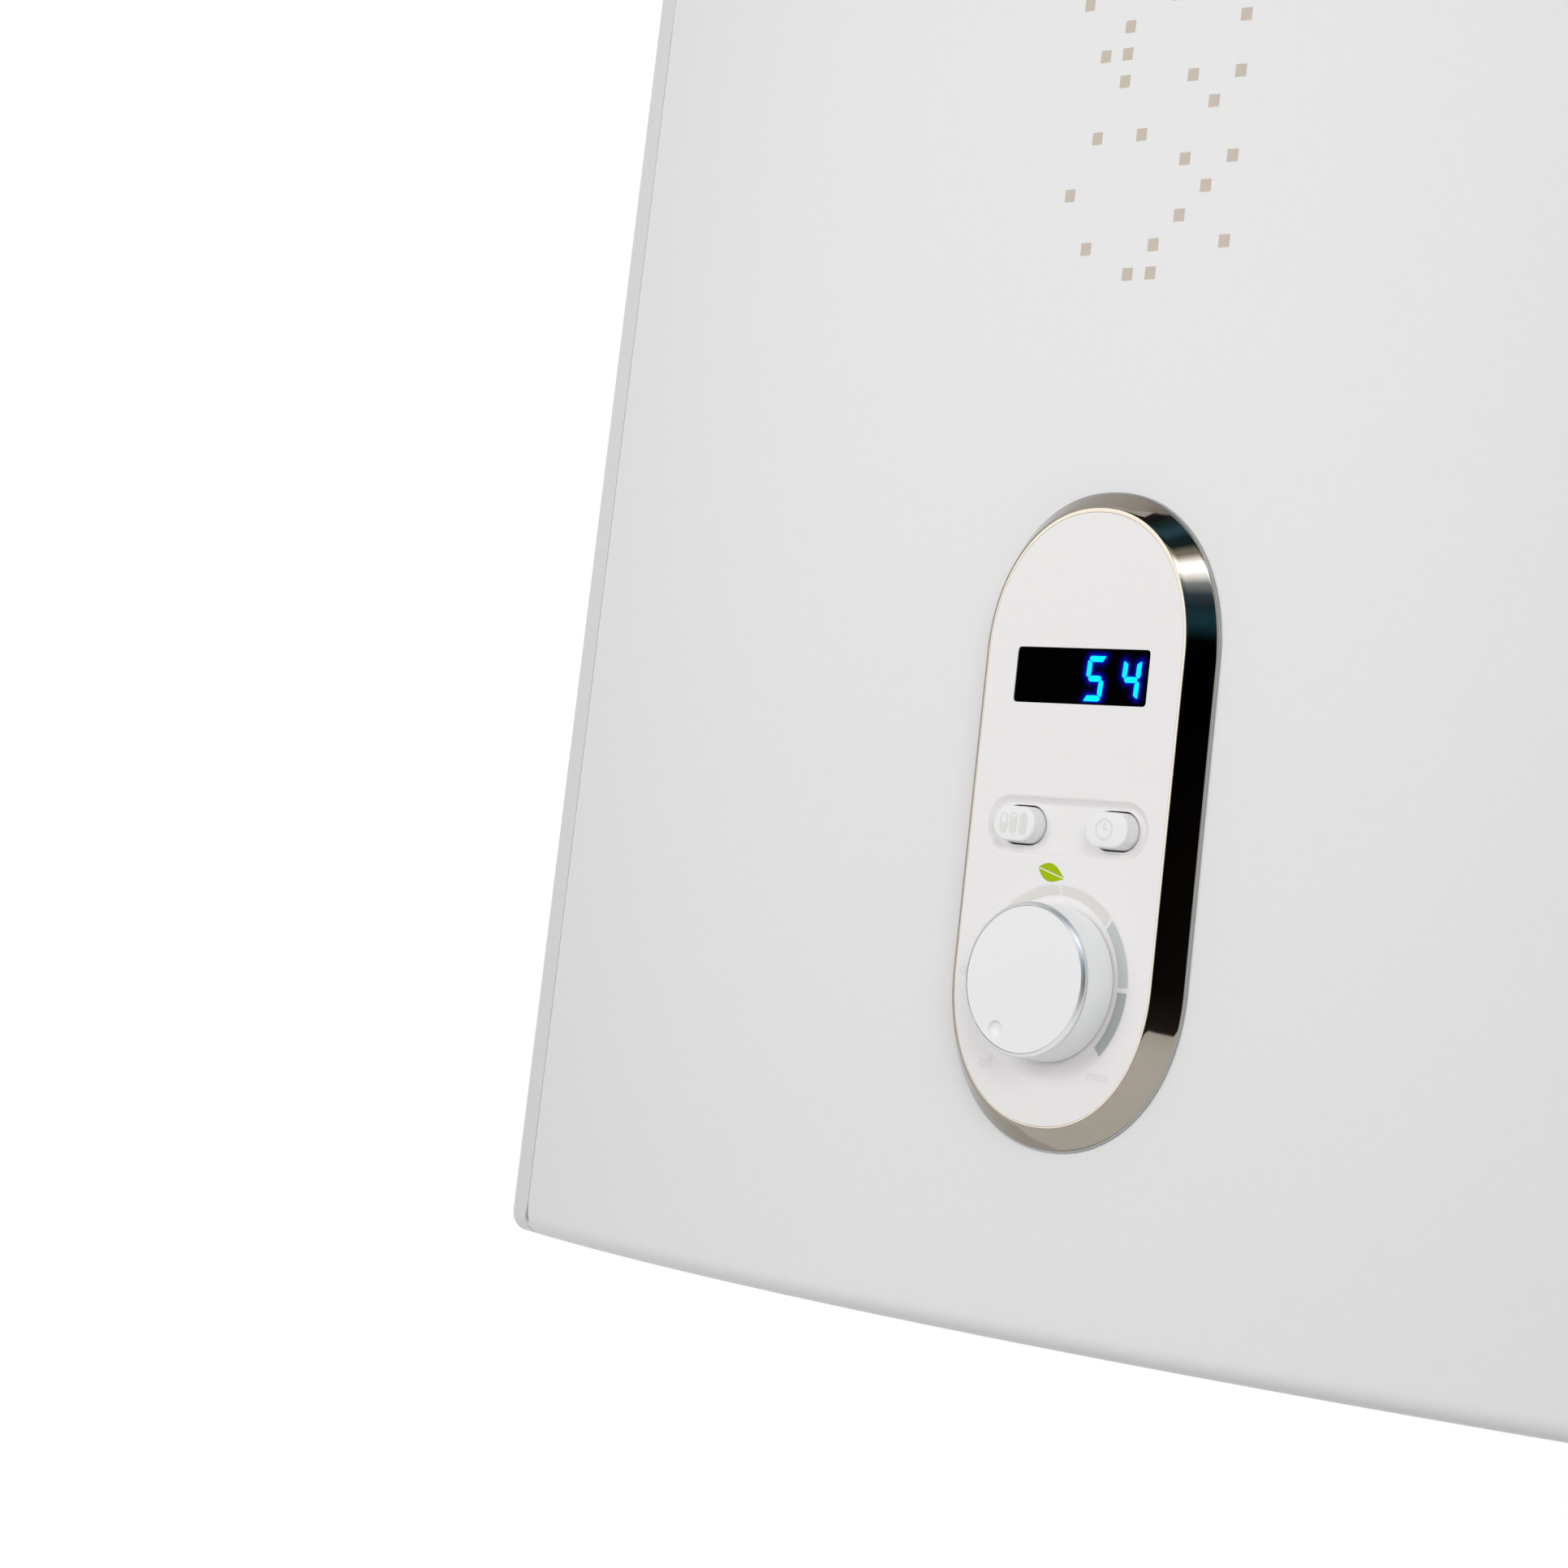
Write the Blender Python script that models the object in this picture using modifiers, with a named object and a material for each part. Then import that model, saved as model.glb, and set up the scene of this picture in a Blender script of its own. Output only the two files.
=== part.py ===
"""Flat wall-hung electric storage water heater with two slim tanks and a knob panel.

Metres, +Z up. The origin is the middle of the upper wall bracket, on the wall plane.
+Y runs into the wall, so the bowed front faces -Y.
"""

import math

import bmesh
import bpy
from mathutils import Matrix, Vector

# Driving dimensions of the casing
CASE_WIDTH = 0.492
CASE_HEIGHT = 0.860
CASE_DEPTH = 0.285
BACK_STANDOFF = 0.010
HANG_HEIGHT = 0.700
BOW_RADIUS = 0.640
CORNER_RADIUS = 0.0095
SEAM_X = 0.231
ROLL_RADIUS = 0.009
HEM_FLAT = 0.002
LIP_WIDTH = 0.012
LIP_RISE = 0.006
SHEET = 0.0010

# Driving dimensions of the tanks
TANK_RADIUS = 0.108
TANK_WALL = 0.0020
TANK_SPACING = 0.232
TANK_REAR_FOAM = 0.0137
TANK_TOP_FOAM = 0.045
DOME_HEIGHT = 0.032
SERVICE_HEIGHT = 0.070
PIPE_SPACING = 0.100
PIPE_RADIUS = 0.0105
PIPE_BORE_RADIUS = 0.0075

# Driving dimensions of the control panel
PANEL_RISE = 0.1322
PANEL_WIDTH = 0.0767
PANEL_HEIGHT = 0.1691
PANEL_CAP = 0.0442
FACE_WIDTH = 0.0629
FACE_HEIGHT = 0.1560
FACE_CAP = 0.0374
FACE_RISE = 0.0062
CAP_EXPONENT = 2.13
KNOB_DROP = 0.0422
KNOB_RADIUS = 0.0198
KNOB_TOP = 0.0165

# Fits shared by every piece
GAP = 0.0003
OVERRUN = 0.0020
WELD = 0.000001
SCREW_MERGE = 0.00001

# Places that follow from the driving dimensions
BOTTOM = -HANG_HEIGHT
TOP = BOTTOM + CASE_HEIGHT
REAR_Y = -BACK_STANDOFF
CROWN_Y = -CASE_DEPTH
BOW_CENTRE_Y = CROWN_Y + BOW_RADIUS
SEAM_ANGLE = math.asin(SEAM_X / BOW_RADIUS)
TANK_Y = REAR_Y - SHEET - TANK_REAR_FOAM - TANK_RADIUS
TANK_BASE = BOTTOM + SERVICE_HEIGHT
TANK_TOP = TOP - TANK_TOP_FOAM
PANEL_Z = BOTTOM + PANEL_RISE
SIDES = {"left": -1, "right": 1}

# How finely round shapes are cut
CASE_CORNER_STEPS = 5
CASE_FRONT_STEPS = 9
ROLL_STEPS = 3
PILL_STEPS = 24
STADIUM_STEPS = 6
TANK_STEPS = 20
DOME_STEPS = 4
PIPE_STEPS = 16
SMALL_STEPS = 12
KNOB_STEPS = 36

# Colour, roughness and metallic value of each finish
FINISHES = {
    "white_enamel": ((0.82, 0.82, 0.82), 0.25, 0.0),
    "galvanised_sheet": ((0.55, 0.56, 0.57), 0.45, 1.0),
    "grey_cover": ((0.62, 0.63, 0.64), 0.50, 0.0),
    "zinc_screw": ((0.60, 0.60, 0.58), 0.35, 1.0),
    "insulating_foam": ((0.80, 0.72, 0.50), 0.90, 0.0),
    "stainless_tank": ((0.58, 0.58, 0.57), 0.30, 1.0),
    "stainless_pipe": ((0.62, 0.62, 0.61), 0.28, 1.0),
    "cold_blue": ((0.03, 0.15, 0.60), 0.40, 0.0),
    "hot_red": ((0.60, 0.03, 0.03), 0.40, 0.0),
    "seal_rubber": ((0.03, 0.03, 0.03), 0.75, 0.0),
    "copper_sheath": ((0.72, 0.42, 0.28), 0.35, 1.0),
    "magnesium": ((0.48, 0.48, 0.47), 0.60, 1.0),
    "black_phenolic": ((0.03, 0.03, 0.035), 0.50, 0.0),
    "signal_red": ((0.65, 0.04, 0.03), 0.45, 0.0),
    "circuit_green": ((0.02, 0.20, 0.08), 0.50, 0.0),
    "chrome": ((0.75, 0.75, 0.74), 0.08, 1.0),
    "white_panel": ((0.85, 0.84, 0.84), 0.20, 0.0),
    "smoked_window": ((0.01, 0.01, 0.012), 0.08, 0.0),
    "black_housing": ((0.05, 0.05, 0.05), 0.55, 0.0),
    "white_key": ((0.84, 0.85, 0.85), 0.25, 0.0),
    "nylon_grey": ((0.30, 0.31, 0.32), 0.50, 0.0),
    "brass_probe": ((0.70, 0.55, 0.30), 0.35, 1.0),
    "cable_grey": ((0.25, 0.25, 0.26), 0.60, 0.0),
}


# Scene helpers

def clear_scene():
    """Remove whatever the file starts with."""
    for obj in list(bpy.data.objects):
        bpy.data.objects.remove(obj, do_unlink=True)


def new_collection(name, hidden=False):
    """A collection under the scene's own one; a hidden one holds cutters."""
    collection = bpy.data.collections.new(name)
    bpy.context.scene.collection.children.link(collection)
    collection.hide_render = hidden
    return collection


clear_scene()
PARTS = new_collection("water_heater")
CUTTERS = new_collection("cutters", hidden=True)


def finish(name):
    """The Principled material of one named finish."""
    material = bpy.data.materials.get(name)
    if material:
        return material
    colour, roughness, metallic = FINISHES[name]
    material = bpy.data.materials.new(name)
    material.use_nodes = True
    shader = material.node_tree.nodes["Principled BSDF"]
    shader.inputs["Base Color"].default_value = (*colour, 1.0)
    shader.inputs["Roughness"].default_value = roughness
    shader.inputs["Metallic"].default_value = metallic
    return material


def place(obj, finish_name):
    """Put an object among the parts with its finish, or among the cutters without one."""
    if finish_name is None:
        CUTTERS.objects.link(obj)
        obj.hide_render = True
        obj.display_type = "WIRE"
    else:
        PARTS.objects.link(obj)
        obj.data.materials.append(finish(finish_name))
    return obj


def mesh_object(name, mesh_maker, finish_name):
    """A mesh object whose bmesh is filled by mesh_maker."""
    mesh = bpy.data.meshes.new(name)
    work = bmesh.new()
    mesh_maker(work)
    work.to_mesh(mesh)
    work.free()
    return place(bpy.data.objects.new(name, mesh), finish_name)


def smooth(obj, degrees=35):
    """Shade round faces smooth and keep real edges sharp."""
    obj.data.shade_smooth()
    obj.data.set_sharp_from_angle(angle=math.radians(degrees))
    return obj


# Shape helpers

def box(name, low, high, finish_name=None):
    """A box between two corners."""
    low, high = Vector(low), Vector(high)

    def make(work):
        bmesh.ops.create_cube(work, size=1)
        bmesh.ops.transform(work, matrix=Matrix.Diagonal((high - low).to_4d()), verts=work.verts)
        bmesh.ops.translate(work, vec=(low + high) / 2, verts=work.verts)

    return mesh_object(name, make, finish_name)


def cylinder(name, centre, radius, low, high, finish_name=None, steps=SMALL_STEPS, tip_radius=None):
    """An upright cylinder or cone about a point of the XY plane."""
    tip = radius if tip_radius is None else tip_radius

    def make(work):
        bmesh.ops.create_cone(
            work, cap_ends=True, segments=steps, radius1=radius, radius2=tip, depth=high - low
        )
        bmesh.ops.translate(work, vec=(centre[0], centre[1], (low + high) / 2), verts=work.verts)

    return mesh_object(name, make, finish_name)


def turned(name, centre, profile, finish_name=None, steps=SMALL_STEPS, ring=False):
    """A turned shape: a profile of (radius, height) run round an upright axis.

    The profile goes down the outer side. A ring's profile closes on itself, and another
    one starts and ends on the axis.
    """

    def make(work):
        points = [work.verts.new((radius, 0.0, height)) for radius, height in profile]
        pairs = list(zip(points, points[1:]))
        if ring:
            pairs.append((points[-1], points[0]))
        for pair in pairs:
            work.edges.new(pair)

    obj = mesh_object(name, make, finish_name)
    obj.location = (centre[0], centre[1], 0.0)
    screw = obj.modifiers.new("turn", "SCREW")
    screw.steps = steps
    screw.render_steps = steps
    screw.use_merge_vertices = True
    screw.merge_threshold = SCREW_MERGE
    return obj


def as_mesh(obj, finish_name):
    """Replace a curve object by its mesh, with the caps welded on."""
    bpy.context.view_layer.update()
    evaluated = obj.evaluated_get(bpy.context.evaluated_depsgraph_get())
    mesh = bpy.data.meshes.new_from_object(evaluated)
    work = bmesh.new()
    work.from_mesh(mesh)
    bmesh.ops.remove_doubles(work, verts=work.verts, dist=WELD)
    bmesh.ops.recalc_face_normals(work, faces=work.faces)
    work.to_mesh(mesh)
    work.free()
    mesh.materials.clear()
    name = obj.name
    matrix = obj.matrix_world.copy()
    bpy.data.objects.remove(obj, do_unlink=True)
    made = bpy.data.objects.new(name, mesh)
    made.matrix_world = matrix
    return place(made, finish_name)


def slab(name, outlines, low, high, finish_name=None):
    """A flat plate between two heights: the first outline is its edge, the others are holes."""
    curve = bpy.data.curves.new(name, "CURVE")
    curve.dimensions = "2D"
    curve.fill_mode = "BOTH"
    curve.extrude = (high - low) / 2
    for outline in outlines:
        spline = curve.splines.new("POLY")
        spline.points.add(len(outline) - 1)
        for point, (x, y) in zip(spline.points, outline):
            point.co = (x, y, 0.0, 1.0)
        spline.use_cyclic_u = True
    obj = bpy.data.objects.new(name, curve)
    CUTTERS.objects.link(obj)
    made = as_mesh(obj, finish_name)
    made.data.transform(Matrix.Translation((0.0, 0.0, (low + high) / 2)))
    return made


def tube(name, route, radius, finish_name=None):
    """A round bar along a route of points, with closed ends."""
    curve = bpy.data.curves.new(name, "CURVE")
    curve.dimensions = "3D"
    curve.bevel_depth = radius
    curve.bevel_resolution = 2
    curve.use_fill_caps = True
    spline = curve.splines.new("POLY")
    spline.points.add(len(route) - 1)
    for point, place_at in zip(spline.points, route):
        point.co = (*place_at, 1.0)
    obj = bpy.data.objects.new(name, curve)
    CUTTERS.objects.link(obj)
    return as_mesh(obj, finish_name)


def loft(name, rings, finish_name=None, round_ring=True, round_loop=False, capped=False):
    """Quads between neighbouring rings of points, for sections that no primitive makes."""

    def make(work):
        grid = [[work.verts.new(point) for point in ring] for ring in rings]
        across = len(rings[0]) if round_ring else len(rings[0]) - 1
        along = len(rings) if round_loop else len(rings) - 1
        for row in range(along):
            near, far = grid[row], grid[(row + 1) % len(grid)]
            for column in range(across):
                after = (column + 1) % len(near)
                work.faces.new((near[column], near[after], far[after], far[column]))
        if capped:
            work.faces.new(grid[0])
            work.faces.new(grid[-1])
        if round_ring:
            bmesh.ops.recalc_face_normals(work, faces=work.faces)

    return mesh_object(name, make, finish_name)


def tapered(name, low_outline, low, high_outline, high, finish_name=None):
    """A solid between two outlines of as many points, at two heights."""
    rings = [[(x, y, low) for x, y in low_outline], [(x, y, high) for x, y in high_outline]]
    return loft(name, rings, finish_name, capped=True)


def cut(obj, *cutters):
    """Take each cutter out of an object."""
    for cutter in cutters:
        modifier = obj.modifiers.new("cut", "BOOLEAN")
        modifier.object = cutter
        modifier.operation = "DIFFERENCE"
        modifier.solver = "EXACT"
    return obj


def join(obj, *pieces):
    """Fuse each moulded-on or soldered-on piece with an object."""
    for piece in pieces:
        modifier = obj.modifiers.new("join", "BOOLEAN")
        modifier.object = piece
        modifier.operation = "UNION"
        modifier.solver = "EXACT"
    return obj


def shell(obj, thickness):
    """Give an open surface its sheet thickness, on the side away from its normals."""
    modifier = obj.modifiers.new("sheet", "SOLIDIFY")
    modifier.thickness = thickness
    modifier.offset = -1.0
    modifier.use_even_offset = True
    return obj


def soften(obj, width, segments=2, degrees=40):
    """Round the edges that are sharper than an angle."""
    modifier = obj.modifiers.new("soft", "BEVEL")
    modifier.width = width
    modifier.segments = segments
    modifier.limit_method = "ANGLE"
    modifier.angle_limit = math.radians(degrees)
    return obj


# Outlines

def circle(radius, centre=(0.0, 0.0), steps=SMALL_STEPS):
    """Points round a circle."""
    turns = [math.tau * step / steps for step in range(steps)]
    return [(centre[0] + radius * math.cos(a), centre[1] + radius * math.sin(a)) for a in turns]


def pill(half_width, cap_height, half_height, steps=PILL_STEPS):
    """An upright pill whose caps run on smoothly from its straight sides."""
    power = 2 / CAP_EXPONENT
    upper = []
    for step in range(steps + 1):
        angle = math.pi * step / steps
        across, up = math.cos(angle), math.sin(angle)
        x = half_width * math.copysign(abs(across) ** power, across)
        upper.append((x, half_height - cap_height + cap_height * abs(up) ** power))
    return upper + [(-x, -z) for x, z in upper]


def stadium(half_length, radius, centre=(0.0, 0.0), steps=STADIUM_STEPS):
    """A level stadium, two half circles joined by straight sides."""
    points = []
    for side in (1, -1):
        for step in range(steps + 1):
            angle = math.pi * (step / steps - 0.5)
            x = side * (half_length - radius + radius * math.cos(angle))
            points.append((centre[0] + x, centre[1] + side * radius * math.sin(angle)))
    return points


def rectangle(half_width, half_height, centre=(0.0, 0.0)):
    """The four corners of an upright rectangle."""
    corners = ((1, -1), (1, 1), (-1, 1), (-1, -1))
    return [(centre[0] + x * half_width, centre[1] + y * half_height) for x, y in corners]


# The casing's plan

def bow(x):
    """How far the front lies behind its crown at a distance from the middle."""
    return BOW_RADIUS - math.sqrt(BOW_RADIUS ** 2 - x ** 2)


def front_point(angle, inset):
    """A plan point of the bowed front, moved in, at an angle from the crown."""
    radius = BOW_RADIUS - inset
    return (radius * math.sin(angle), BOW_CENTRE_Y - radius * math.cos(angle))


def corner_line(inset):
    """The left side's plan line round the corner, moved in, and the angle where it meets the bow."""
    half = CASE_WIDTH / 2 - inset
    radius = max(CORNER_RADIUS - inset, CORNER_LEAST_RADIUS)
    reach = BOW_RADIUS - inset - radius
    lean = math.asin((half - radius) / reach)
    x, y = radius - half, BOW_CENTRE_Y - reach * math.cos(lean)
    line = [(-half, REAR_Y)]
    for step in range(CASE_CORNER_STEPS + 1):
        angle = math.pi + (math.pi / 2 - lean) * step / CASE_CORNER_STEPS
        line.append((x + radius * math.cos(angle), y + radius * math.sin(angle)))
    return line, lean


def bow_angles():
    """The angles from one seam to the other at which the front is cut into facets."""
    return [SEAM_ANGLE * (step / CASE_FRONT_STEPS - 1) for step in range(2 * CASE_FRONT_STEPS + 1)]


def near_seam(side, inset, past):
    """A plan point at an inset, some way past a seam towards the side, or before it if negative."""
    x, y = front_point(SEAM_ANGLE + past / BOW_RADIUS, inset)
    return (side * x, y)


def case_outline(inset, rear_inset, side_inset=0.0):
    """A closed plan outline inside the casing, straight at the back."""
    limit = CASE_WIDTH / 2 - max(inset, side_inset)
    rear = REAR_Y - rear_inset
    left, lean = corner_line(inset)
    bowed = [front_point(angle, inset) for angle in bow_angles() if abs(angle) < lean]
    line = left + bowed + [(-x, y) for x, y in reversed(left)]
    return [(max(-limit, min(limit, x)), min(y, rear)) for x, y in line]


# The casing

CORNER_LEAST_RADIUS = 0.0010
LIP_INSET = ROLL_RADIUS + LIP_WIDTH
RISER_INSET = ROLL_RADIUS + HEM_FLAT
SEAM_PLAY = 0.0004
FLANGE_WELD_INSET = 0.0005
FLANGE_INSET = 0.00145
FLANGE_STEP = 0.0009
FLANGE_WELD_REACH = 0.0070
FLANGE_REACH = 0.0100
FLANGE_END = 0.0120
HEM_DEPTH = 0.014
SCREW_RADIUS = 0.0018
SCREW_HOLE_RADIUS = 0.0022
SCREW_HEAD_RADIUS = 0.0040
SCREW_HEAD_HEIGHT = 0.0022
SCREW_LENGTH = 0.0090
SCREW_INSET = (RISER_INSET + LIP_INSET) / 2
SCREW_FRONT_X_SHARE = 0.50
SCREW_SIDE_BACK = 0.050
COVER_SHEET = 0.0020
COVER_PLAY = 0.0005
COVER_SKIRT_HEIGHT = 0.0060
COVER_SKIRT_WALL = 0.0018
TOP_COVER_SHEET = 0.0015
TUB_CUT_MARGIN = 0.0004

LIP_Z = BOTTOM + LIP_RISE
COVER_TOP = LIP_Z - GAP
COVER_LOW = COVER_TOP - COVER_SHEET
COVER_INSET = RISER_INSET + COVER_PLAY


def screw_places():
    """Where the four screws hold the bottom cover to the casing's lip."""
    front_x = CASE_WIDTH / 2 * SCREW_FRONT_X_SHARE
    front_y = CROWN_Y + bow(front_x) + SCREW_INSET
    side_x = CASE_WIDTH / 2 - SCREW_INSET
    side_y = REAR_Y - SCREW_SIDE_BACK
    return [(-front_x, front_y), (front_x, front_y), (side_x, side_y), (-side_x, side_y)]


def roll_profile():
    """The casing's upright section as (inset, height): raised lip, hem, rolled edge, wall, roll and lip."""
    roll = []
    for step in range(ROLL_STEPS + 1):
        angle = math.pi / 2 * step / ROLL_STEPS
        roll.append((ROLL_RADIUS * (1 - math.sin(angle)), ROLL_RADIUS * (1 - math.cos(angle))))
    foot = [(LIP_INSET, LIP_Z), (RISER_INSET, LIP_Z), (RISER_INSET, BOTTOM)]
    foot += [(inset, BOTTOM + rise) for inset, rise in roll]
    return foot + [(inset, TOP - rise) for inset, rise in reversed(roll)] + [(LIP_INSET, TOP)]


def panel_cut(name, half_width, half_height, low, high):
    """A pill-shaped cutter square to the front, in the control panel's own frame."""
    cap = FACE_CAP / (FACE_WIDTH / 2) * half_width
    return on_panel(slab(name, [pill(half_width, cap, half_height)], low, high))


def on_panel(obj, across=0.0, up=0.0):
    """Lay an object on the front: its x runs right, its y up and its z out of the crown."""
    obj.location = (across, CROWN_Y, PANEL_Z + up)
    obj.rotation_euler = (math.pi / 2, 0.0, 0.0)
    return obj


def cut_lip_holes(sheet, numbers):
    """Take the cover screws' holes out of a sheet's raised lip."""
    for number in numbers:
        spot = screw_places()[number - 1]
        low, high = LIP_Z - OVERRUN, LIP_Z + SHEET + OVERRUN
        cut(sheet, cylinder(f"lip_hole_{number}", spot, SCREW_HOLE_RADIUS, low, high))


def make_front_casing():
    """The bowed front sheet between the seams, rolled in at its top and bottom edges."""
    rows = []
    for inset, height in roll_profile():
        rows.append([(*front_point(angle, inset), height) for angle in bow_angles()])
    casing = loft("front_casing", rows, "white_enamel", round_ring=False)
    shell(casing, SHEET)
    cut(casing, panel_cut("casing_opening", TUB_HALF_WIDTH + TUB_CUT_MARGIN,
                          TUB_HALF_HEIGHT + TUB_CUT_MARGIN, -SHEET - BEZEL_LIP_TOP, OVERRUN))
    cut_lip_holes(casing, (1, 2))
    smooth(casing)


def make_side_panels():
    """The side sheets, round the corner to the seam, with a stepped flange behind the front sheet."""
    for (name, side), number in zip(SIDES.items(), (4, 3)):
        rows = []
        for inset, height in roll_profile():
            line = corner_line(inset)[0] + [near_seam(-1, inset, SEAM_PLAY)]
            if side > 0:
                line = [(-x, y) for x, y in reversed(line)]
            rows.append([(x, y, height) for x, y in line])
        panel = shell(loft(f"{name}_side_panel", rows, "white_enamel", round_ring=False), SHEET)
        places = [(FLANGE_WELD_INSET, FLANGE_WELD_REACH), (FLANGE_WELD_INSET, FLANGE_STEP),
                  (FLANGE_INSET, FLANGE_STEP), (FLANGE_INSET, -FLANGE_REACH),
                  (FLANGE_INSET + SHEET, -FLANGE_REACH), (FLANGE_INSET + SHEET, FLANGE_WELD_REACH)]
        flange = [near_seam(side, inset, past) for inset, past in places]
        join(panel, slab(f"{name}_seam_flange", [flange], BOTTOM + FLANGE_END, TOP - FLANGE_END))
        cut_lip_holes(panel, (number,))
        smooth(panel)


def make_back_panel():
    """The flat back sheet, with a hem down each side that lies inside the casing."""
    half = CASE_WIDTH / 2 - SHEET - GAP
    line = [(-half, REAR_Y - HEM_DEPTH), (-half, REAR_Y), (half, REAR_Y), (half, REAR_Y - HEM_DEPTH)]
    low, high = LIP_Z + SHEET + GAP, TOP - SHEET - GAP
    rows = [[(x, y, height) for x, y in reversed(line)] for height in (low, high)]
    panel = shell(loft("back_panel", rows, "galvanised_sheet", round_ring=False), SHEET)
    inside = half - ROLL_RADIUS
    for side in (-1, 1):
        near, far = sorted((side * inside, side * (half + OVERRUN)))
        cut(panel, box(f"foot_notch_{side}", (near, REAR_Y - HEM_DEPTH - OVERRUN, low - OVERRUN),
                       (far, REAR_Y + OVERRUN, BOTTOM + ROLL_RADIUS + GAP)))
        cut(panel, box(f"head_notch_{side}", (near, REAR_Y - HEM_DEPTH - OVERRUN, high - ROLL_RADIUS),
                       (far, REAR_Y + OVERRUN, high + OVERRUN)))


def make_top_cover():
    """The plate that closes the top, lying under the casing's rolled lip."""
    high = TOP - SHEET - GAP
    outline = case_outline(ROLL_RADIUS, SHEET + GAP)
    slab("top_cover", [outline], high - TOP_COVER_SHEET, high, "white_enamel")


def make_bottom_cover():
    """The service cover: a plate under the lip, a skirt that locates it, and its holes."""
    holes = [circle(SCREW_HOLE_RADIUS, spot) for spot in screw_places()]
    holes += [circle(PIPE_RADIUS + PIPE_HOLE_MARGIN, spot, PIPE_STEPS) for spot in pipe_places()]
    holes.append(circle(GLAND_THREAD_RADIUS + GAP, (0.0, GLAND_Y), PIPE_STEPS))
    plate_edge = case_outline(COVER_INSET, SHEET + GAP)
    cover = slab("bottom_cover", [plate_edge] + holes, COVER_LOW, COVER_TOP, "grey_cover")
    outer = case_outline(LIP_INSET + GAP, SHEET + 2 * GAP)
    inner = case_outline(LIP_INSET + GAP + COVER_SKIRT_WALL, SHEET + 2 * GAP + COVER_SKIRT_WALL)
    skirt = slab("cover_skirt", [outer, inner], COVER_TOP - COVER_SHEET / 2, LIP_Z + COVER_SKIRT_HEIGHT)
    join(cover, skirt)


def make_cover_screws():
    """Four pan-head screws that hold the bottom cover."""
    seat = COVER_LOW - GAP
    for number, spot in enumerate(screw_places(), 1):
        profile = [
            (0.0, seat + SCREW_LENGTH),
            (SCREW_RADIUS, seat + SCREW_LENGTH - SCREW_RADIUS),
            (SCREW_RADIUS, seat),
            (SCREW_HEAD_RADIUS, seat),
            (SCREW_HEAD_RADIUS, seat - SCREW_HEAD_HEIGHT / 2),
            (SCREW_HEAD_RADIUS / 2, seat - SCREW_HEAD_HEIGHT),
            (0.0, seat - SCREW_HEAD_HEIGHT),
        ]
        smooth(turned(f"bottom_cover_screw_{number}", spot, profile, "zinc_screw", steps=10))


# The wall brackets

BRACKET_LENGTH = 0.300
BRACKET_HEIGHT = 0.046
BRACKET_SHEET = 0.0025
LOWER_BRACKET_RISE = 0.180
SLOT_SPACING = 0.220
SLOT_HALF_WIDTH = 0.0050
SLOT_HALF_HEIGHT = 0.0120
KEYHOLE_RADIUS = 0.0085
KEYHOLE_DROP = 0.0080


def bracket_heights():
    """The middle heights of the upper and the lower bracket."""
    return {"upper_wall_bracket": 0.0, "lower_wall_bracket": BOTTOM + LOWER_BRACKET_RISE}


def make_wall_brackets():
    """Two channels on the back, each with keyholes for the wall anchors."""
    front = REAR_Y + GAP
    half = BRACKET_HEIGHT / 2
    section = [(front, -half), (0.0, -half), (0.0, half), (front, half)]
    slot = [(y, x) for x, y in stadium(SLOT_HALF_HEIGHT, SLOT_HALF_WIDTH)]
    for name, height in bracket_heights().items():
        rows = [[(x, y, height + z) for y, z in section] for x in (-BRACKET_LENGTH / 2, BRACKET_LENGTH / 2)]
        bracket = shell(loft(name, rows, "galvanised_sheet", round_ring=False), BRACKET_SHEET)
        for side in (-1, 1):
            across = side * SLOT_SPACING / 2
            tall = slab(f"{name}_slot_{side}", [slot], -OVERRUN, BRACKET_SHEET + OVERRUN)
            wide = cylinder(f"{name}_keyhole_{side}", (0.0, -KEYHOLE_DROP), KEYHOLE_RADIUS, -OVERRUN,
                            BRACKET_SHEET + OVERRUN)
            for cutter in (tall, wide):
                cutter.rotation_euler = (math.pi / 2, 0.0, 0.0)
                cutter.location = (across, 0.0, height)
                cut(bracket, cutter)


# The tanks and their pipes

RING_RADIUS = 0.046
RING_HEIGHT = 0.010
MOUTH_RADIUS = 0.0285
PIPE_HOLE_MARGIN = 0.0010
PIPE_BACK_OFFSET = 0.030
NIPPLE_DROP = 0.014
INLET_RISE = 0.050
OUTLET_STOP = 0.030
TRANSFER_RADIUS = 0.0090
TRANSFER_BORE_RADIUS = 0.0074
TRANSFER_OFFSET = 0.055
TRANSFER_FRONT_OFFSET = 0.030
TRANSFER_DIP = 0.050
TRANSFER_BEND = 0.018
TRANSFER_CLEAR = 0.016
TRANSFER_END_RISE = 0.060
TRANSFER_BEND_STEPS = 4
RING_OUTER_RADIUS = 0.0150
MARKING_HEIGHT = 0.0040
DIFFUSER_RADIUS = 0.0150
DIFFUSER_WALL = 0.0020
DIFFUSER_HEIGHT = 0.0140
DIFFUSER_FLOAT = 0.0060
FOAM_RISE = 0.090

CYLINDER_BASE = TANK_BASE + RING_HEIGHT + DOME_HEIGHT
CYLINDER_TOP = TANK_TOP - DOME_HEIGHT


def tank_axis(side):
    """Where a tank's axis stands in plan."""
    return (side * TANK_SPACING / 2, TANK_Y)


def pipe_places():
    """Where the cold and the hot pipe leave the underside."""
    return [(side * PIPE_SPACING / 2, TANK_Y + PIPE_BACK_OFFSET) for side in SIDES.values()]


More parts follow.
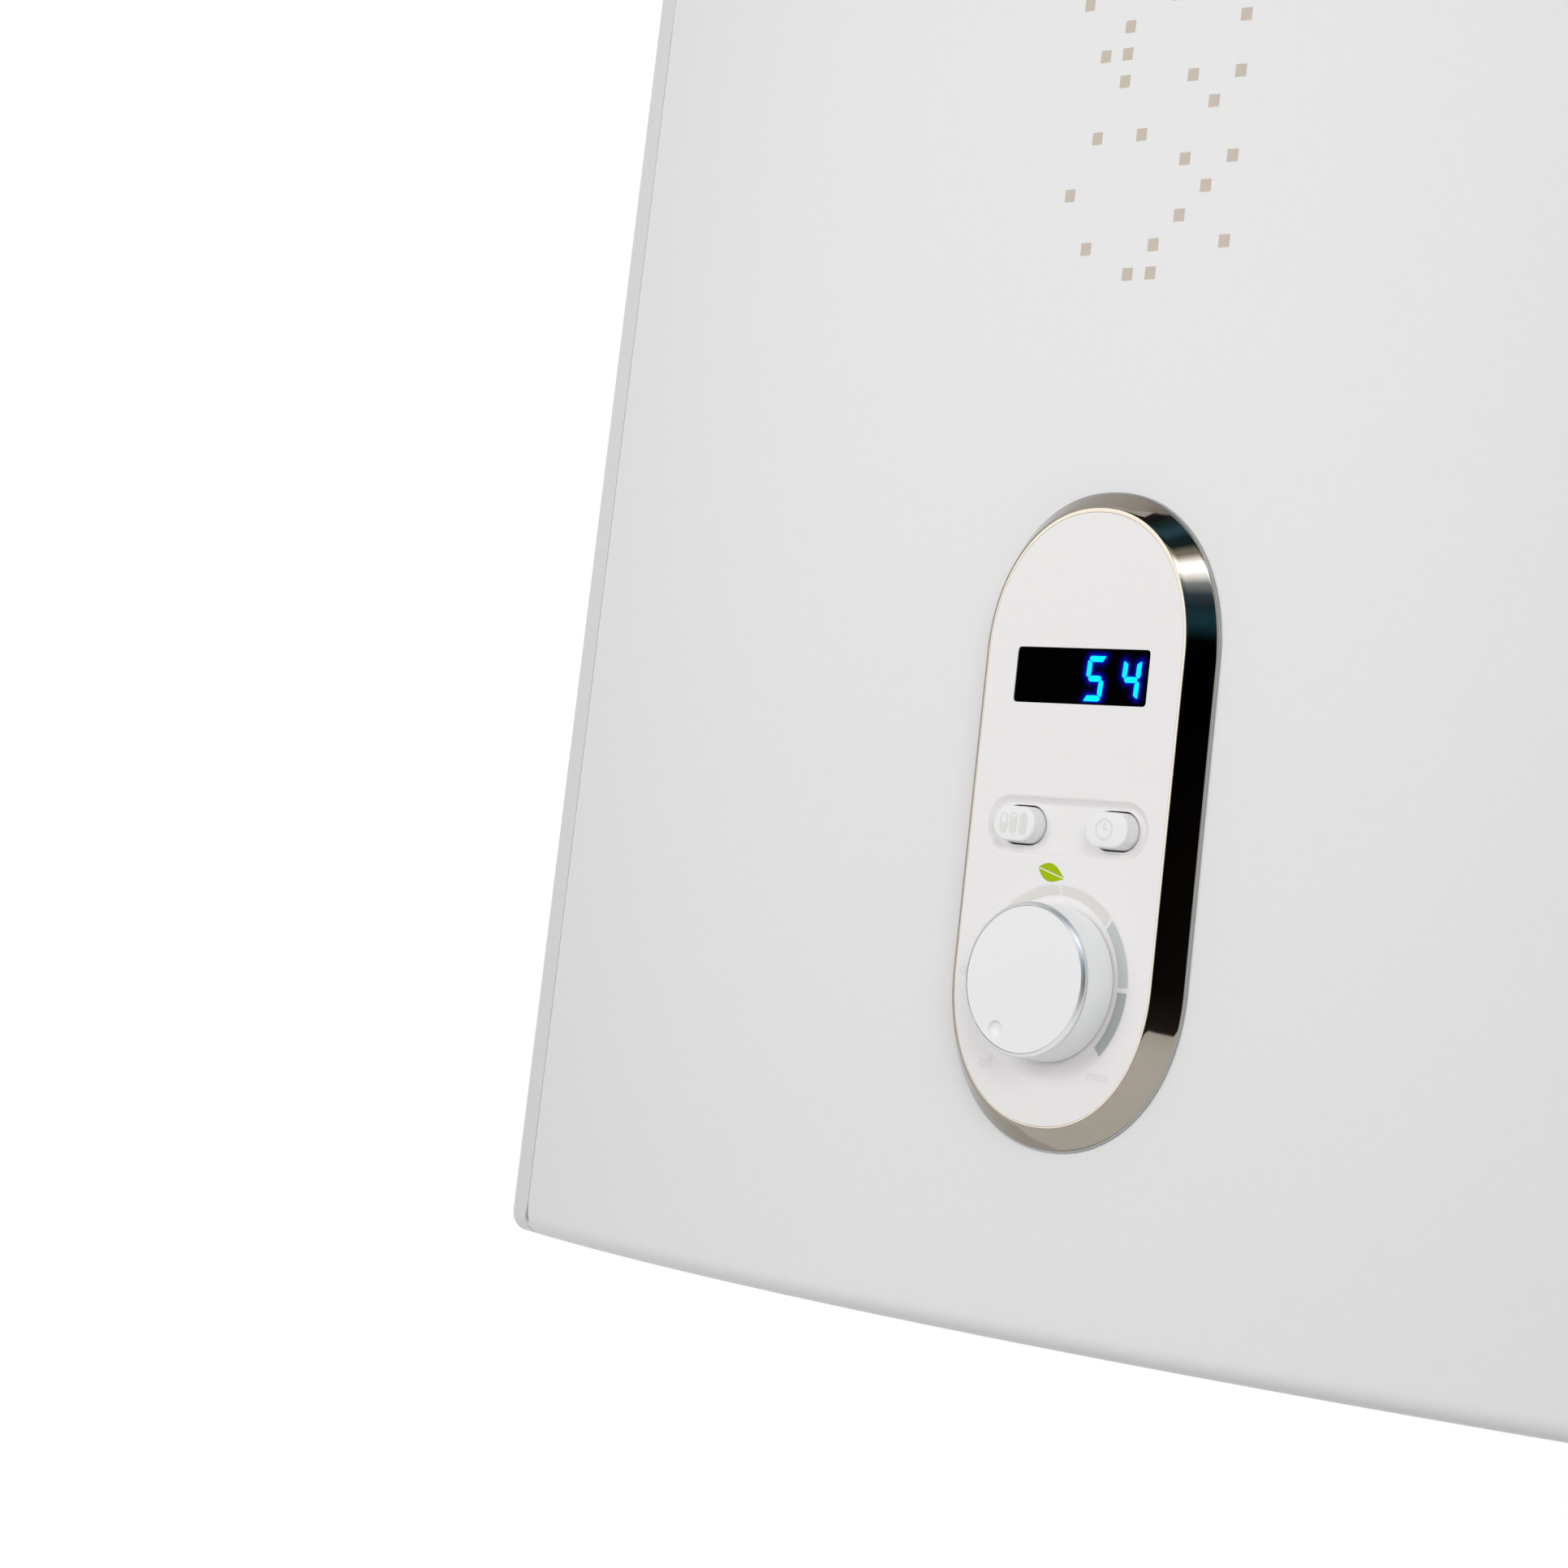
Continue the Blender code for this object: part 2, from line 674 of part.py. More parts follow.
def dome(radius, height, base, way, start_radius=0.0):
    """Points of a domed end from a start radius out to the wall; way is 1 up and -1 down."""
    first = math.asin(start_radius / radius)
    points = []
    for step in range(DOME_STEPS + 1):
        angle = first + (math.pi / 2 - first) * step / DOME_STEPS
        points.append((radius * math.sin(angle), base + way * height * math.cos(angle)))
    return points


def transfer_route():
    """From the top of the cold tank, over both domes, down into the foot of the hot tank."""
    left_x = -TANK_SPACING / 2 + TRANSFER_OFFSET
    right_x = -left_x
    y = TANK_Y - TRANSFER_FRONT_OFFSET
    crest = TANK_TOP + TRANSFER_CLEAR
    route = [(left_x, y, TANK_TOP - TRANSFER_DIP)]
    for step in range(TRANSFER_BEND_STEPS + 1):
        angle = math.pi / 2 * step / TRANSFER_BEND_STEPS
        x = left_x + TRANSFER_BEND * (1 - math.cos(angle))
        route.append((x, y, crest - TRANSFER_BEND * (1 - math.sin(angle))))
    bend_back = [(-x, y, z) for x, y, z in reversed(route[1:])]
    return route + bend_back + [(right_x, y, TANK_BASE + TRANSFER_END_RISE)]


def make_tanks():
    """Two upright tanks: a wall with domed ends, and a bolting ring round the mouth below."""
    inner = TANK_RADIUS - TANK_WALL
    inner_dome = DOME_HEIGHT - TANK_WALL
    outer_top = dome(TANK_RADIUS, DOME_HEIGHT, CYLINDER_TOP, 1)
    outer_base = list(reversed(dome(TANK_RADIUS, DOME_HEIGHT, CYLINDER_BASE, -1, RING_RADIUS)))
    ring = [(RING_RADIUS, TANK_BASE), (MOUTH_RADIUS, TANK_BASE)]
    inner_base = dome(inner, inner_dome, CYLINDER_BASE, -1, MOUTH_RADIUS)
    inner_top = list(reversed(dome(inner, inner_dome, CYLINDER_TOP, 1)))
    profile = outer_top + outer_base + ring + inner_base + inner_top
    route = transfer_route()
    for (name, side), pipe in zip(SIDES.items(), pipe_places()):
        axis = tank_axis(side)
        tank = turned(f"{name}_tank", axis, profile, "stainless_tank", steps=TANK_STEPS)
        end = route[0] if side < 0 else route[-1]
        cut(tank, cylinder(f"{name}_dome_hole", end[:2], TRANSFER_RADIUS + GAP, CYLINDER_TOP,
                           TANK_TOP + OVERRUN, steps=PIPE_STEPS))
        cut(tank, cylinder(f"{name}_pipe_hole", pipe, PIPE_RADIUS + GAP, TANK_BASE, CYLINDER_BASE,
                           steps=PIPE_STEPS))
        for number, spot in enumerate(bolt_places(axis), 1):
            cut(tank, cylinder(f"{name}_ring_hole_{number}", spot, BOLT_RADIUS + GAP,
                               TANK_BASE - OVERRUN, TANK_BASE + BOLT_GRIP + GAP, steps=8))
        smooth(tank)


def make_pipes():
    """The water pipes with their marking rings, the transfer pipe and the inlet diffuser."""
    foot = BOTTOM - NIPPLE_DROP
    tops = {"cold_inlet_pipe": TANK_BASE + INLET_RISE, "hot_outlet_pipe": TANK_TOP - OUTLET_STOP}
    for (name, top), spot in zip(tops.items(), pipe_places()):
        profile = [(PIPE_RADIUS, top), (PIPE_RADIUS, foot), (PIPE_BORE_RADIUS, foot), (PIPE_BORE_RADIUS, top)]
        smooth(turned(name, spot, profile, "stainless_pipe", steps=PIPE_STEPS, ring=True))
    high = COVER_LOW - GAP
    low = high - MARKING_HEIGHT
    hole = PIPE_RADIUS + GAP
    for name, colour, spot in zip(("cold_marking_ring", "hot_marking_ring"), ("cold_blue", "hot_red"),
                                  pipe_places()):
        profile = [(RING_OUTER_RADIUS, high), (RING_OUTER_RADIUS, low), (hole, low), (hole, high)]
        smooth(turned(name, spot, profile, colour, steps=PIPE_STEPS, ring=True))
    transfer = tube("transfer_pipe", transfer_route(), TRANSFER_RADIUS, "stainless_pipe")
    route = transfer_route()
    over = Vector((0.0, 0.0, OVERRUN))
    longer = [Vector(route[0]) - over] + [Vector(p) for p in route[1:-1]] + [Vector(route[-1]) - over]
    smooth(cut(transfer, tube("transfer_bore", longer, TRANSFER_BORE_RADIUS)))
    top = tops["cold_inlet_pipe"]
    roof = top + DIFFUSER_FLOAT
    skirt = top + DIFFUSER_FLOAT - DIFFUSER_HEIGHT
    inner = PIPE_RADIUS + GAP
    profile = [
        (0.0, roof + DIFFUSER_WALL),
        (DIFFUSER_RADIUS, roof + DIFFUSER_WALL),
        (DIFFUSER_RADIUS, roof),
        (inner + DIFFUSER_WALL, roof),
        (inner + DIFFUSER_WALL, skirt),
        (inner, skirt),
        (inner, roof),
        (0.0, roof),
    ]
    diffuser = turned("inlet_diffuser", pipe_places()[0], profile, "nylon_grey", steps=PIPE_STEPS)
    slot_low, slot_high = top + GAP, roof - GAP
    for number, (half_x, half_y) in enumerate(((DIFFUSER_RADIUS, inner / 2), (inner / 2, DIFFUSER_RADIUS)), 1):
        x, y = pipe_places()[0]
        cut(diffuser, box(f"diffuser_slot_{number}", (x - half_x, y - half_y, slot_low),
                          (x + half_x, y + half_y, slot_high)))


def make_foam():
    """The foamed block round both tanks, with room for the panel's tub and the pipe above."""
    high = TOP - ROLL_RADIUS
    outline = case_outline(SHEET + GAP, SHEET + GAP, 2 * (SHEET + GAP))
    foam = slab("foam_insulation", [outline], BOTTOM + FOAM_RISE, high, "insulating_foam")
    hollow = TANK_RADIUS + GAP
    for name, side in SIDES.items():
        profile = dome(hollow, DOME_HEIGHT + GAP, CYLINDER_TOP, 1)
        profile += [(hollow, BOTTOM + FOAM_RISE - OVERRUN), (0.0, BOTTOM + FOAM_RISE - OVERRUN)]
        cut(foam, turned(f"{name}_tank_hollow", tank_axis(side), profile, steps=TANK_STEPS))
    cut(foam, tube("transfer_channel", transfer_route(), TRANSFER_RADIUS + GAP))
    margin = GAP + GAP
    near, far = FLANGE_WELD_REACH + margin, -FLANGE_REACH - margin
    depth = FLANGE_INSET + SHEET + GAP
    for name, side in SIDES.items():
        channel = [near_seam(side, inset, past) for inset, past in
                   ((0.0, near), (0.0, far), (depth, far), (depth, near))]
        low = BOTTOM + FOAM_RISE - OVERRUN
        cut(foam, slab(f"{name}_seam_channel", [channel], low, high + OVERRUN))
    cut(foam, panel_cut("tub_pocket", TUB_HALF_WIDTH + margin, TUB_HALF_HEIGHT + margin,
                        -TUB_DEPTH - margin, OVERRUN))


# The flanges with what they carry into the tanks

BOLT_COUNT = 3
BOLT_CIRCLE_RADIUS = 0.0395
BOLT_RADIUS = 0.0028
BOLT_HEAD_RADIUS = 0.0055
BOLT_HEAD_HEIGHT = 0.0040
BOLT_GRIP = 0.0070
GASKET_HEIGHT = 0.0020
GASKET_OUTER_RADIUS = 0.0350
GASKET_INNER_RADIUS = 0.0270
FLANGE_HEIGHT = 0.0050
ELEMENT_RADIUS = 0.0042
ELEMENT_HALF_GAP = 0.0120
ELEMENT_HALF_SPREAD = 0.0180
ELEMENT_FRONT_OFFSET = 0.0120
ELEMENT_TERMINAL = 0.0200
ELEMENT_NECK_RISE = 0.030
ELEMENT_SPREAD_RISE = 0.055
ELEMENT_LENGTH = 0.300
ELEMENT_BEND_STEPS = 6
ANODE_RADIUS = 0.0100
ANODE_BACK_OFFSET = 0.0140
ANODE_RISE = 0.016
ANODE_LENGTH = 0.240
ANODE_STUD_RADIUS = 0.0025
ANODE_STUD_TAIL = 0.0120
POCKET_RADIUS = 0.0040
POCKET_BORE_RADIUS = 0.0032
POCKET_SIDE_OFFSET = 0.0185
POCKET_BACK_OFFSET = 0.0070
POCKET_LENGTH = 0.260
POCKET_TAIL = 0.0030
PROBE_RADIUS = 0.0026
PROBE_LENGTH = 0.180
PROBE_TAIL = 0.0120

GASKET_TOP = TANK_BASE - GAP
FLANGE_TOP = GASKET_TOP - GASKET_HEIGHT - GAP
FLANGE_FOOT = FLANGE_TOP - FLANGE_HEIGHT


def bolt_places(axis):
    """Where the bolts stand round a flange, clear of the terminals."""
    turns = [math.tau * number / BOLT_COUNT + math.pi / 2 for number in range(BOLT_COUNT)]
    return [(axis[0] + BOLT_CIRCLE_RADIUS * math.cos(a), axis[1] + BOLT_CIRCLE_RADIUS * math.sin(a))
            for a in turns]


def element_route(axis):
    """A hairpin: up from one terminal, spread, round the top bend and down to the other."""
    y = axis[1] - ELEMENT_FRONT_OFFSET
    crown = FLANGE_TOP + ELEMENT_LENGTH - ELEMENT_HALF_SPREAD
    leg = [
        (-ELEMENT_HALF_GAP, FLANGE_FOOT - ELEMENT_TERMINAL),
        (-ELEMENT_HALF_GAP, FLANGE_TOP + ELEMENT_NECK_RISE),
        (-ELEMENT_HALF_SPREAD, FLANGE_TOP + ELEMENT_SPREAD_RISE),
        (-ELEMENT_HALF_SPREAD, crown),
    ]
    bend = []
    for step in range(1, ELEMENT_BEND_STEPS):
        angle = math.pi * step / ELEMENT_BEND_STEPS
        bend.append((-ELEMENT_HALF_SPREAD * math.cos(angle), crown + ELEMENT_HALF_SPREAD * math.sin(angle)))
    line = leg + bend + [(-x, z) for x, z in reversed(leg)]
    return [(axis[0] + x, y, z) for x, z in line]


def make_flange_set(name, side):
    """One flange, its gasket and bolts, heating element, anode and sensor pocket."""
    axis = tank_axis(side)
    anode = (axis[0], axis[1] + ANODE_BACK_OFFSET)
    pocket = (axis[0] + POCKET_SIDE_OFFSET, axis[1] + POCKET_BACK_OFFSET)
    element_y = axis[1] - ELEMENT_FRONT_OFFSET
    legs = [(axis[0] + way * ELEMENT_HALF_GAP, element_y) for way in (-1, 1)]
    low = GASKET_TOP - GASKET_HEIGHT
    gasket = [(GASKET_OUTER_RADIUS, GASKET_TOP), (GASKET_OUTER_RADIUS, low), (GASKET_INNER_RADIUS, low),
              (GASKET_INNER_RADIUS, GASKET_TOP)]
    turned(f"{name}_flange_gasket", axis, gasket, "seal_rubber", steps=TANK_STEPS, ring=True)
    holes = [circle(BOLT_RADIUS + GAP, spot, 8) for spot in bolt_places(axis)]
    holes += [circle(ELEMENT_RADIUS + GAP, spot) for spot in legs]
    holes.append(circle(ANODE_STUD_RADIUS + GAP, anode))
    holes.append(circle(POCKET_RADIUS + GAP, pocket))
    rim = circle(RING_RADIUS, axis, TANK_STEPS)
    slab(f"{name}_flange", [rim] + holes, FLANGE_FOOT, FLANGE_TOP, "galvanised_sheet")
    for number, spot in enumerate(bolt_places(axis), 1):
        seat = FLANGE_FOOT - GAP
        head = cylinder(f"{name}_flange_bolt_{number}", spot, BOLT_HEAD_RADIUS, seat - BOLT_HEAD_HEIGHT,
                        seat, "zinc_screw", steps=6)
        join(head, cylinder(f"{name}_bolt_shank_{number}", spot, BOLT_RADIUS,
                            seat - BOLT_HEAD_HEIGHT / 2, TANK_BASE + BOLT_GRIP, steps=8))
    smooth(tube(f"{name}_heating_element", element_route(axis), ELEMENT_RADIUS, "copper_sheath"))
    foot, rod = FLANGE_FOOT - ANODE_STUD_TAIL, FLANGE_TOP + ANODE_RISE
    top = rod + ANODE_LENGTH
    profile = [(0.0, top), (ANODE_RADIUS, top - ANODE_RADIUS / 2), (ANODE_RADIUS, rod),
               (ANODE_STUD_RADIUS, rod), (ANODE_STUD_RADIUS, foot), (0.0, foot)]
    smooth(turned(f"{name}_anode", anode, profile, "magnesium"))
    top, foot = FLANGE_TOP + POCKET_LENGTH, FLANGE_FOOT - POCKET_TAIL
    wall = POCKET_RADIUS - POCKET_BORE_RADIUS
    profile = [(0.0, top), (POCKET_RADIUS, top - wall), (POCKET_RADIUS, foot), (POCKET_BORE_RADIUS, foot),
               (POCKET_BORE_RADIUS, top - 2 * wall), (0.0, top - 2 * wall)]
    smooth(turned(f"{name}_sensor_pocket", pocket, profile, "stainless_pipe"))


def make_probe():
    """The temperature probe, pushed up into the hot tank's pocket."""
    axis = tank_axis(SIDES["right"])
    spot = (axis[0] + POCKET_SIDE_OFFSET, axis[1] + POCKET_BACK_OFFSET)
    foot = FLANGE_FOOT - PROBE_TAIL
    cylinder("temperature_probe", spot, PROBE_RADIUS, foot, foot + PROBE_LENGTH, "brass_probe")


# The electrical parts of the service space

SHELF_HALF_WIDTH = 0.036
SHELF_SHEET = 0.0015
SHELF_RISE = 0.020
SHELF_LENGTH = 0.225
SHELF_UPSTAND = 0.040
POST_RADIUS = 0.0025
POST_HEIGHT = 0.0060
BOARD_HALF_WIDTH = 0.031
BOARD_LENGTH = 0.080
BOARD_SHEET = 0.0016
POST_INSET = 0.0050
RELAY_SIZE = (0.019, 0.016, 0.015)
SUPPLY_SIZE = (0.026, 0.024, 0.020)
SOLDER_DEPTH = 0.0005
TERMINAL_SIZE = (0.048, 0.016, 0.018)
TERMINAL_BACK = 0.060
TERMINAL_WAYS = 4
TERMINAL_SCREW_RADIUS = 0.0030
TERMINAL_SCREW_DEPTH = 0.0060
CUTOUT_BACK = 0.098
CUTOUT_HALF_WIDTH = 0.0120
CUTOUT_HEIGHT = 0.0150
BUTTON_BUSH_RADIUS = 0.0042
BUTTON_BUSH_DROP = 0.0030
RESET_RADIUS = 0.0024
RESET_DROP = 0.0060
RESET_DEPTH = 0.0080
RESET_TRAVEL = 0.0015
RUN_GAP = 0.00025
GLAND_BACK = 0.036
GLAND_THREAD_RADIUS = 0.0095
GLAND_BORE_RADIUS = 0.0048
GLAND_COLLAR_RADIUS = 0.0130
GLAND_COLLAR_HEIGHT = 0.0045
GLAND_DOME_RADIUS = 0.0115
GLAND_DOME_HEIGHT = 0.0150
GLAND_THREAD_RISE = 0.0085
GLAND_NUT_RADIUS = 0.0135
GLAND_NUT_HEIGHT = 0.0050
GLAND_PASSAGE_RADIUS = 0.0080

SHELF_TOP = BOTTOM + SHELF_RISE + SHELF_SHEET
SHELF_FRONT_Y = REAR_Y - SHELF_LENGTH
CUTOUT_Y = REAR_Y - CUTOUT_BACK
GLAND_Y = REAR_Y - GLAND_BACK


def board_span():
    """The front and back edge of the power board."""
    front = SHELF_FRONT_Y + POST_INSET
    return front, front + BOARD_LENGTH


def post_places():
    """The four posts under the power board."""
    front, back = board_span()
    x = BOARD_HALF_WIDTH - POST_INSET
    return [(side * x, y) for side in (-1, 1) for y in (front + POST_INSET, back - POST_INSET)]


def make_board_carrier():
    """A sheet bracket that stands on the back panel and carries the electrical parts."""
    wall_y = REAR_Y - SHEET - GAP
    low = BOTTOM + SHELF_RISE
    carrier = box("board_carrier", (-SHELF_HALF_WIDTH, SHELF_FRONT_Y, low),
                  (SHELF_HALF_WIDTH, wall_y, SHELF_TOP), "galvanised_sheet")
    join(carrier, box("carrier_upstand", (-SHELF_HALF_WIDTH, wall_y - SHELF_SHEET, low),
                      (SHELF_HALF_WIDTH, wall_y, low + SHELF_UPSTAND)))
    for number, spot in enumerate(post_places(), 1):
        join(carrier, cylinder(f"carrier_post_{number}", spot, POST_RADIUS, low + SHELF_SHEET / 2,
                               SHELF_TOP + POST_HEIGHT, steps=8))
    cut(carrier, cylinder("carrier_cable_hole", (0.0, GLAND_Y), GLAND_PASSAGE_RADIUS, low - OVERRUN,
                          SHELF_TOP + OVERRUN))
    cut(carrier, cylinder("carrier_button_hole", (0.0, CUTOUT_Y), BUTTON_BUSH_RADIUS + GAP,
                          low - OVERRUN, SHELF_TOP + OVERRUN))


def make_power_board():
    """The mains board on its posts, with two relays and the supply block soldered on."""
    front, back = board_span()
    low = SHELF_TOP + POST_HEIGHT + GAP
    high = low + BOARD_SHEET
    board = box("power_board", (-BOARD_HALF_WIDTH, front, low), (BOARD_HALF_WIDTH, back, high),
                "circuit_green")
    wide, deep, tall = RELAY_SIZE
    relay_y = back - 2 * POST_INSET - deep
    for side in (-1, 1):
        x = side * (wide / 2 + POST_INSET / 2)
        join(board, box(f"relay_{side}", (x - wide / 2, relay_y, high - SOLDER_DEPTH),
                        (x + wide / 2, relay_y + deep, high + tall)))
    wide, deep, tall = SUPPLY_SIZE
    join(board, box("supply_block", (-wide / 2, front + 2 * POST_INSET, high - SOLDER_DEPTH),
                    (wide / 2, front + 2 * POST_INSET + deep, high + tall)))


def make_terminal_block():
    """The mains terminals, a moulded block with a screw well for each way."""
    wide, deep, tall = TERMINAL_SIZE
    y = REAR_Y - TERMINAL_BACK
    low = SHELF_TOP + GAP
    block = box("terminal_block", (-wide / 2, y - deep / 2, low), (wide / 2, y + deep / 2, low + tall),
                "nylon_grey")
    for way in range(TERMINAL_WAYS):
        x = wide * ((way + 0.5) / TERMINAL_WAYS - 0.5)
        cut(block, cylinder(f"terminal_well_{way}", (x, y), TERMINAL_SCREW_RADIUS,
                            low + tall - TERMINAL_SCREW_DEPTH, low + tall + OVERRUN, steps=8))


def make_safety_cutout():
    """The thermal cut-out on the shelf, and the button below it that resets it."""
    low = SHELF_TOP + GAP
    body = box("safety_cutout", (-CUTOUT_HALF_WIDTH, CUTOUT_Y - CUTOUT_HALF_WIDTH, low),
               (CUTOUT_HALF_WIDTH, CUTOUT_Y + CUTOUT_HALF_WIDTH, low + CUTOUT_HEIGHT), "black_phenolic")
    bush_foot = BOTTOM + SHELF_RISE - BUTTON_BUSH_DROP
    join(body, cylinder("cutout_bush", (0.0, CUTOUT_Y), BUTTON_BUSH_RADIUS, bush_foot,
                        low + CUTOUT_HEIGHT / 2))
    button_top = bush_foot - RESET_DROP + RESET_DEPTH
    cut(body, cylinder("cutout_bore", (0.0, CUTOUT_Y), RESET_RADIUS + RUN_GAP, bush_foot - OVERRUN,
                       button_top + RESET_TRAVEL + RUN_GAP))
    button = cylinder("reset_button", (0.0, 0.0), RESET_RADIUS, bush_foot - RESET_DROP, button_top,
                      "signal_red")
    button.location = (0.0, CUTOUT_Y, 0.0)


def make_gland():
    """The cable gland in the bottom cover and its lock nut above the cover."""
    high = COVER_LOW - GAP
    collar = high - GLAND_COLLAR_HEIGHT
    foot = collar - GLAND_DOME_HEIGHT
    thread_top = COVER_TOP + GLAND_THREAD_RISE
    mouth = GLAND_BORE_RADIUS + (GLAND_DOME_RADIUS - GLAND_BORE_RADIUS) / 2
    profile = [
        (GLAND_THREAD_RADIUS, thread_top),
        (GLAND_THREAD_RADIUS, high),
        (GLAND_COLLAR_RADIUS, high),
        (GLAND_COLLAR_RADIUS, collar),
        (GLAND_DOME_RADIUS, collar),
        (GLAND_DOME_RADIUS, (collar + foot) / 2),
        (mouth, foot),
        (GLAND_BORE_RADIUS, foot),
        (GLAND_BORE_RADIUS, thread_top),
    ]
    smooth(turned("cable_gland", (0.0, GLAND_Y), profile, "nylon_grey", steps=PIPE_STEPS, ring=True))
    low = COVER_TOP + GAP
    outlines = [circle(GLAND_NUT_RADIUS, (0.0, GLAND_Y), 6),
                circle(GLAND_THREAD_RADIUS + GAP, (0.0, GLAND_Y), PIPE_STEPS)]
    slab("gland_nut", outlines, low, low + GLAND_NUT_HEIGHT, "nylon_grey")


# The control panel, in its own frame: x right, y up, z out from the casing's crown

FACE_WALL = 0.0020
FACE_FOOT = 0.0006
TRAY_DROP = 0.0031
TRAY_HALF_LENGTH = 0.0261
TRAY_RADIUS = 0.0073
TRAY_DEPTH = 0.0014
TRAY_SLOPE = 0.0012
TRAY_FLOOR_WALL = 0.0016
KEY_CENTRE = 0.0150
KEY_HALF_LENGTH = 0.0072
KEY_RADIUS = 0.0048
KEY_RISE = 0.0029
KEY_EDGE = 0.0006
KEY_COLLAR = 0.0011
KEY_COLLAR_HEIGHT = 0.0010
KEY_PLAY = 0.0004
KEY_STEM_RADIUS = 0.0016
KEY_TRAVEL = 0.0012
WINDOW_RISE = 0.0355
WINDOW_HALF_WIDTH = 0.0217
WINDOW_HALF_HEIGHT = 0.0073
WINDOW_STEP = 0.0014
WINDOW_STEP_HEIGHT = 0.0010
DISH_RADIUS = 0.0250
DISH_FLOOR_RADIUS = 0.0217
DISH_DEPTH = 0.0010
BUSHING_RADIUS = 0.0035
BUSHING_TOP = 0.0070
SHAFT_RADIUS = 0.0030
SHAFT_TOP = 0.0126
SHAFT_FLAT = 0.0022
ENCODER_HALF_WIDTH = 0.0063
ENCODER_HEIGHT = 0.0065
PCB_SHEET = 0.0016
PCB_FRONT = -0.0049
PCB_HALF_WIDTH = 0.0275
PCB_HALF_HEIGHT = 0.0720
SWITCH_HALF_WIDTH = 0.0030
SWITCH_HEIGHT = 0.0035
MODULE_HALF_WIDTH = 0.0195
MODULE_HALF_HEIGHT = 0.0062
TUB_HALF_WIDTH = 0.0325
TUB_HALF_HEIGHT = 0.0791
TUB_WALL = 0.0018
TUB_DEPTH = 0.0170
TUB_BOSS_RADIUS = 0.0026
TUB_BOSS_INSET = 0.0050
TUB_BOSS_DROP_SHARE = 0.62
CABLE_RADIUS = 0.0022
CABLE_DROP = 0.0640

PCB_BACK = PCB_FRONT - PCB_SHEET
TRAY_FLOOR = FACE_RISE - TRAY_DEPTH
KEY_TOP = FACE_RISE + KEY_RISE
KEY_COLLAR_TOP = TRAY_FLOOR - TRAY_FLOOR_WALL - KEY_PLAY
KEY_STEM_END = PCB_FRONT + SWITCH_HEIGHT + KEY_TRAVEL + 2 * GAP
DISH_FLOOR = FACE_RISE - DISH_DEPTH
KEYS = {"level": -1, "timer": 1}

# The bezel's section as shares of its width, each with its height over the crown
BEZEL_LIP_TOP = 0.0068
BEZEL_INNER_TOP = 0.0064
BEZEL_LIP_OUTER = 0.0065
BEZEL_FLANK_FOOT = 0.0016
BEZEL_WALL_TOP = 0.0013
BEZEL_INNER_FOOT = 0.0008
BEZEL_UNDER_LOW = 0.0013
BEZEL_UNDER_HIGH = 0.0044
BEZEL_LIP_SHARE = 0.09
BEZEL_LIP_OUTER_SHARE = 0.20
BEZEL_FLANK_SHARE = 0.93
BEZEL_WALL_SHARE = 0.97
BEZEL_FOOT_SHARE = 0.80
BEZEL_UNDER_SHARE = 0.70


def make_chrome_bezel():
    """The bright frame: a narrow lip, a sloped flank and a foot that follows the bowed front."""
    inner = pill(FACE_WIDTH / 2, FACE_CAP, FACE_HEIGHT / 2)
    outer = pill(PANEL_WIDTH / 2, PANEL_CAP, PANEL_HEIGHT / 2)
    section = [
        (0.0, BEZEL_INNER_FOOT),
        (0.0, BEZEL_INNER_TOP),
        (BEZEL_LIP_SHARE, BEZEL_LIP_TOP),
        (BEZEL_LIP_OUTER_SHARE, BEZEL_LIP_OUTER),
        (BEZEL_FLANK_SHARE, BEZEL_FLANK_FOOT),
        (BEZEL_WALL_SHARE, BEZEL_WALL_TOP),
        (1.0, None),
        (BEZEL_FOOT_SHARE, None),
        (BEZEL_UNDER_SHARE, BEZEL_UNDER_LOW),
        (BEZEL_LIP_OUTER_SHARE, BEZEL_UNDER_HIGH),
        (BEZEL_LIP_OUTER_SHARE, BEZEL_INNER_FOOT),
    ]
    rings = []
    for (x0, y0), (x1, y1) in zip(inner, outer):
        ring = []
        for share, height in section:
            x = x0 + (x1 - x0) * share
            y = y0 + (y1 - y0) * share
            ring.append((x, y, GAP - bow(x) if height is None else height))
        rings.append(ring)
    bezel = loft("chrome_bezel", rings, "chrome", round_loop=True)
    smooth(on_panel(bezel), 25)


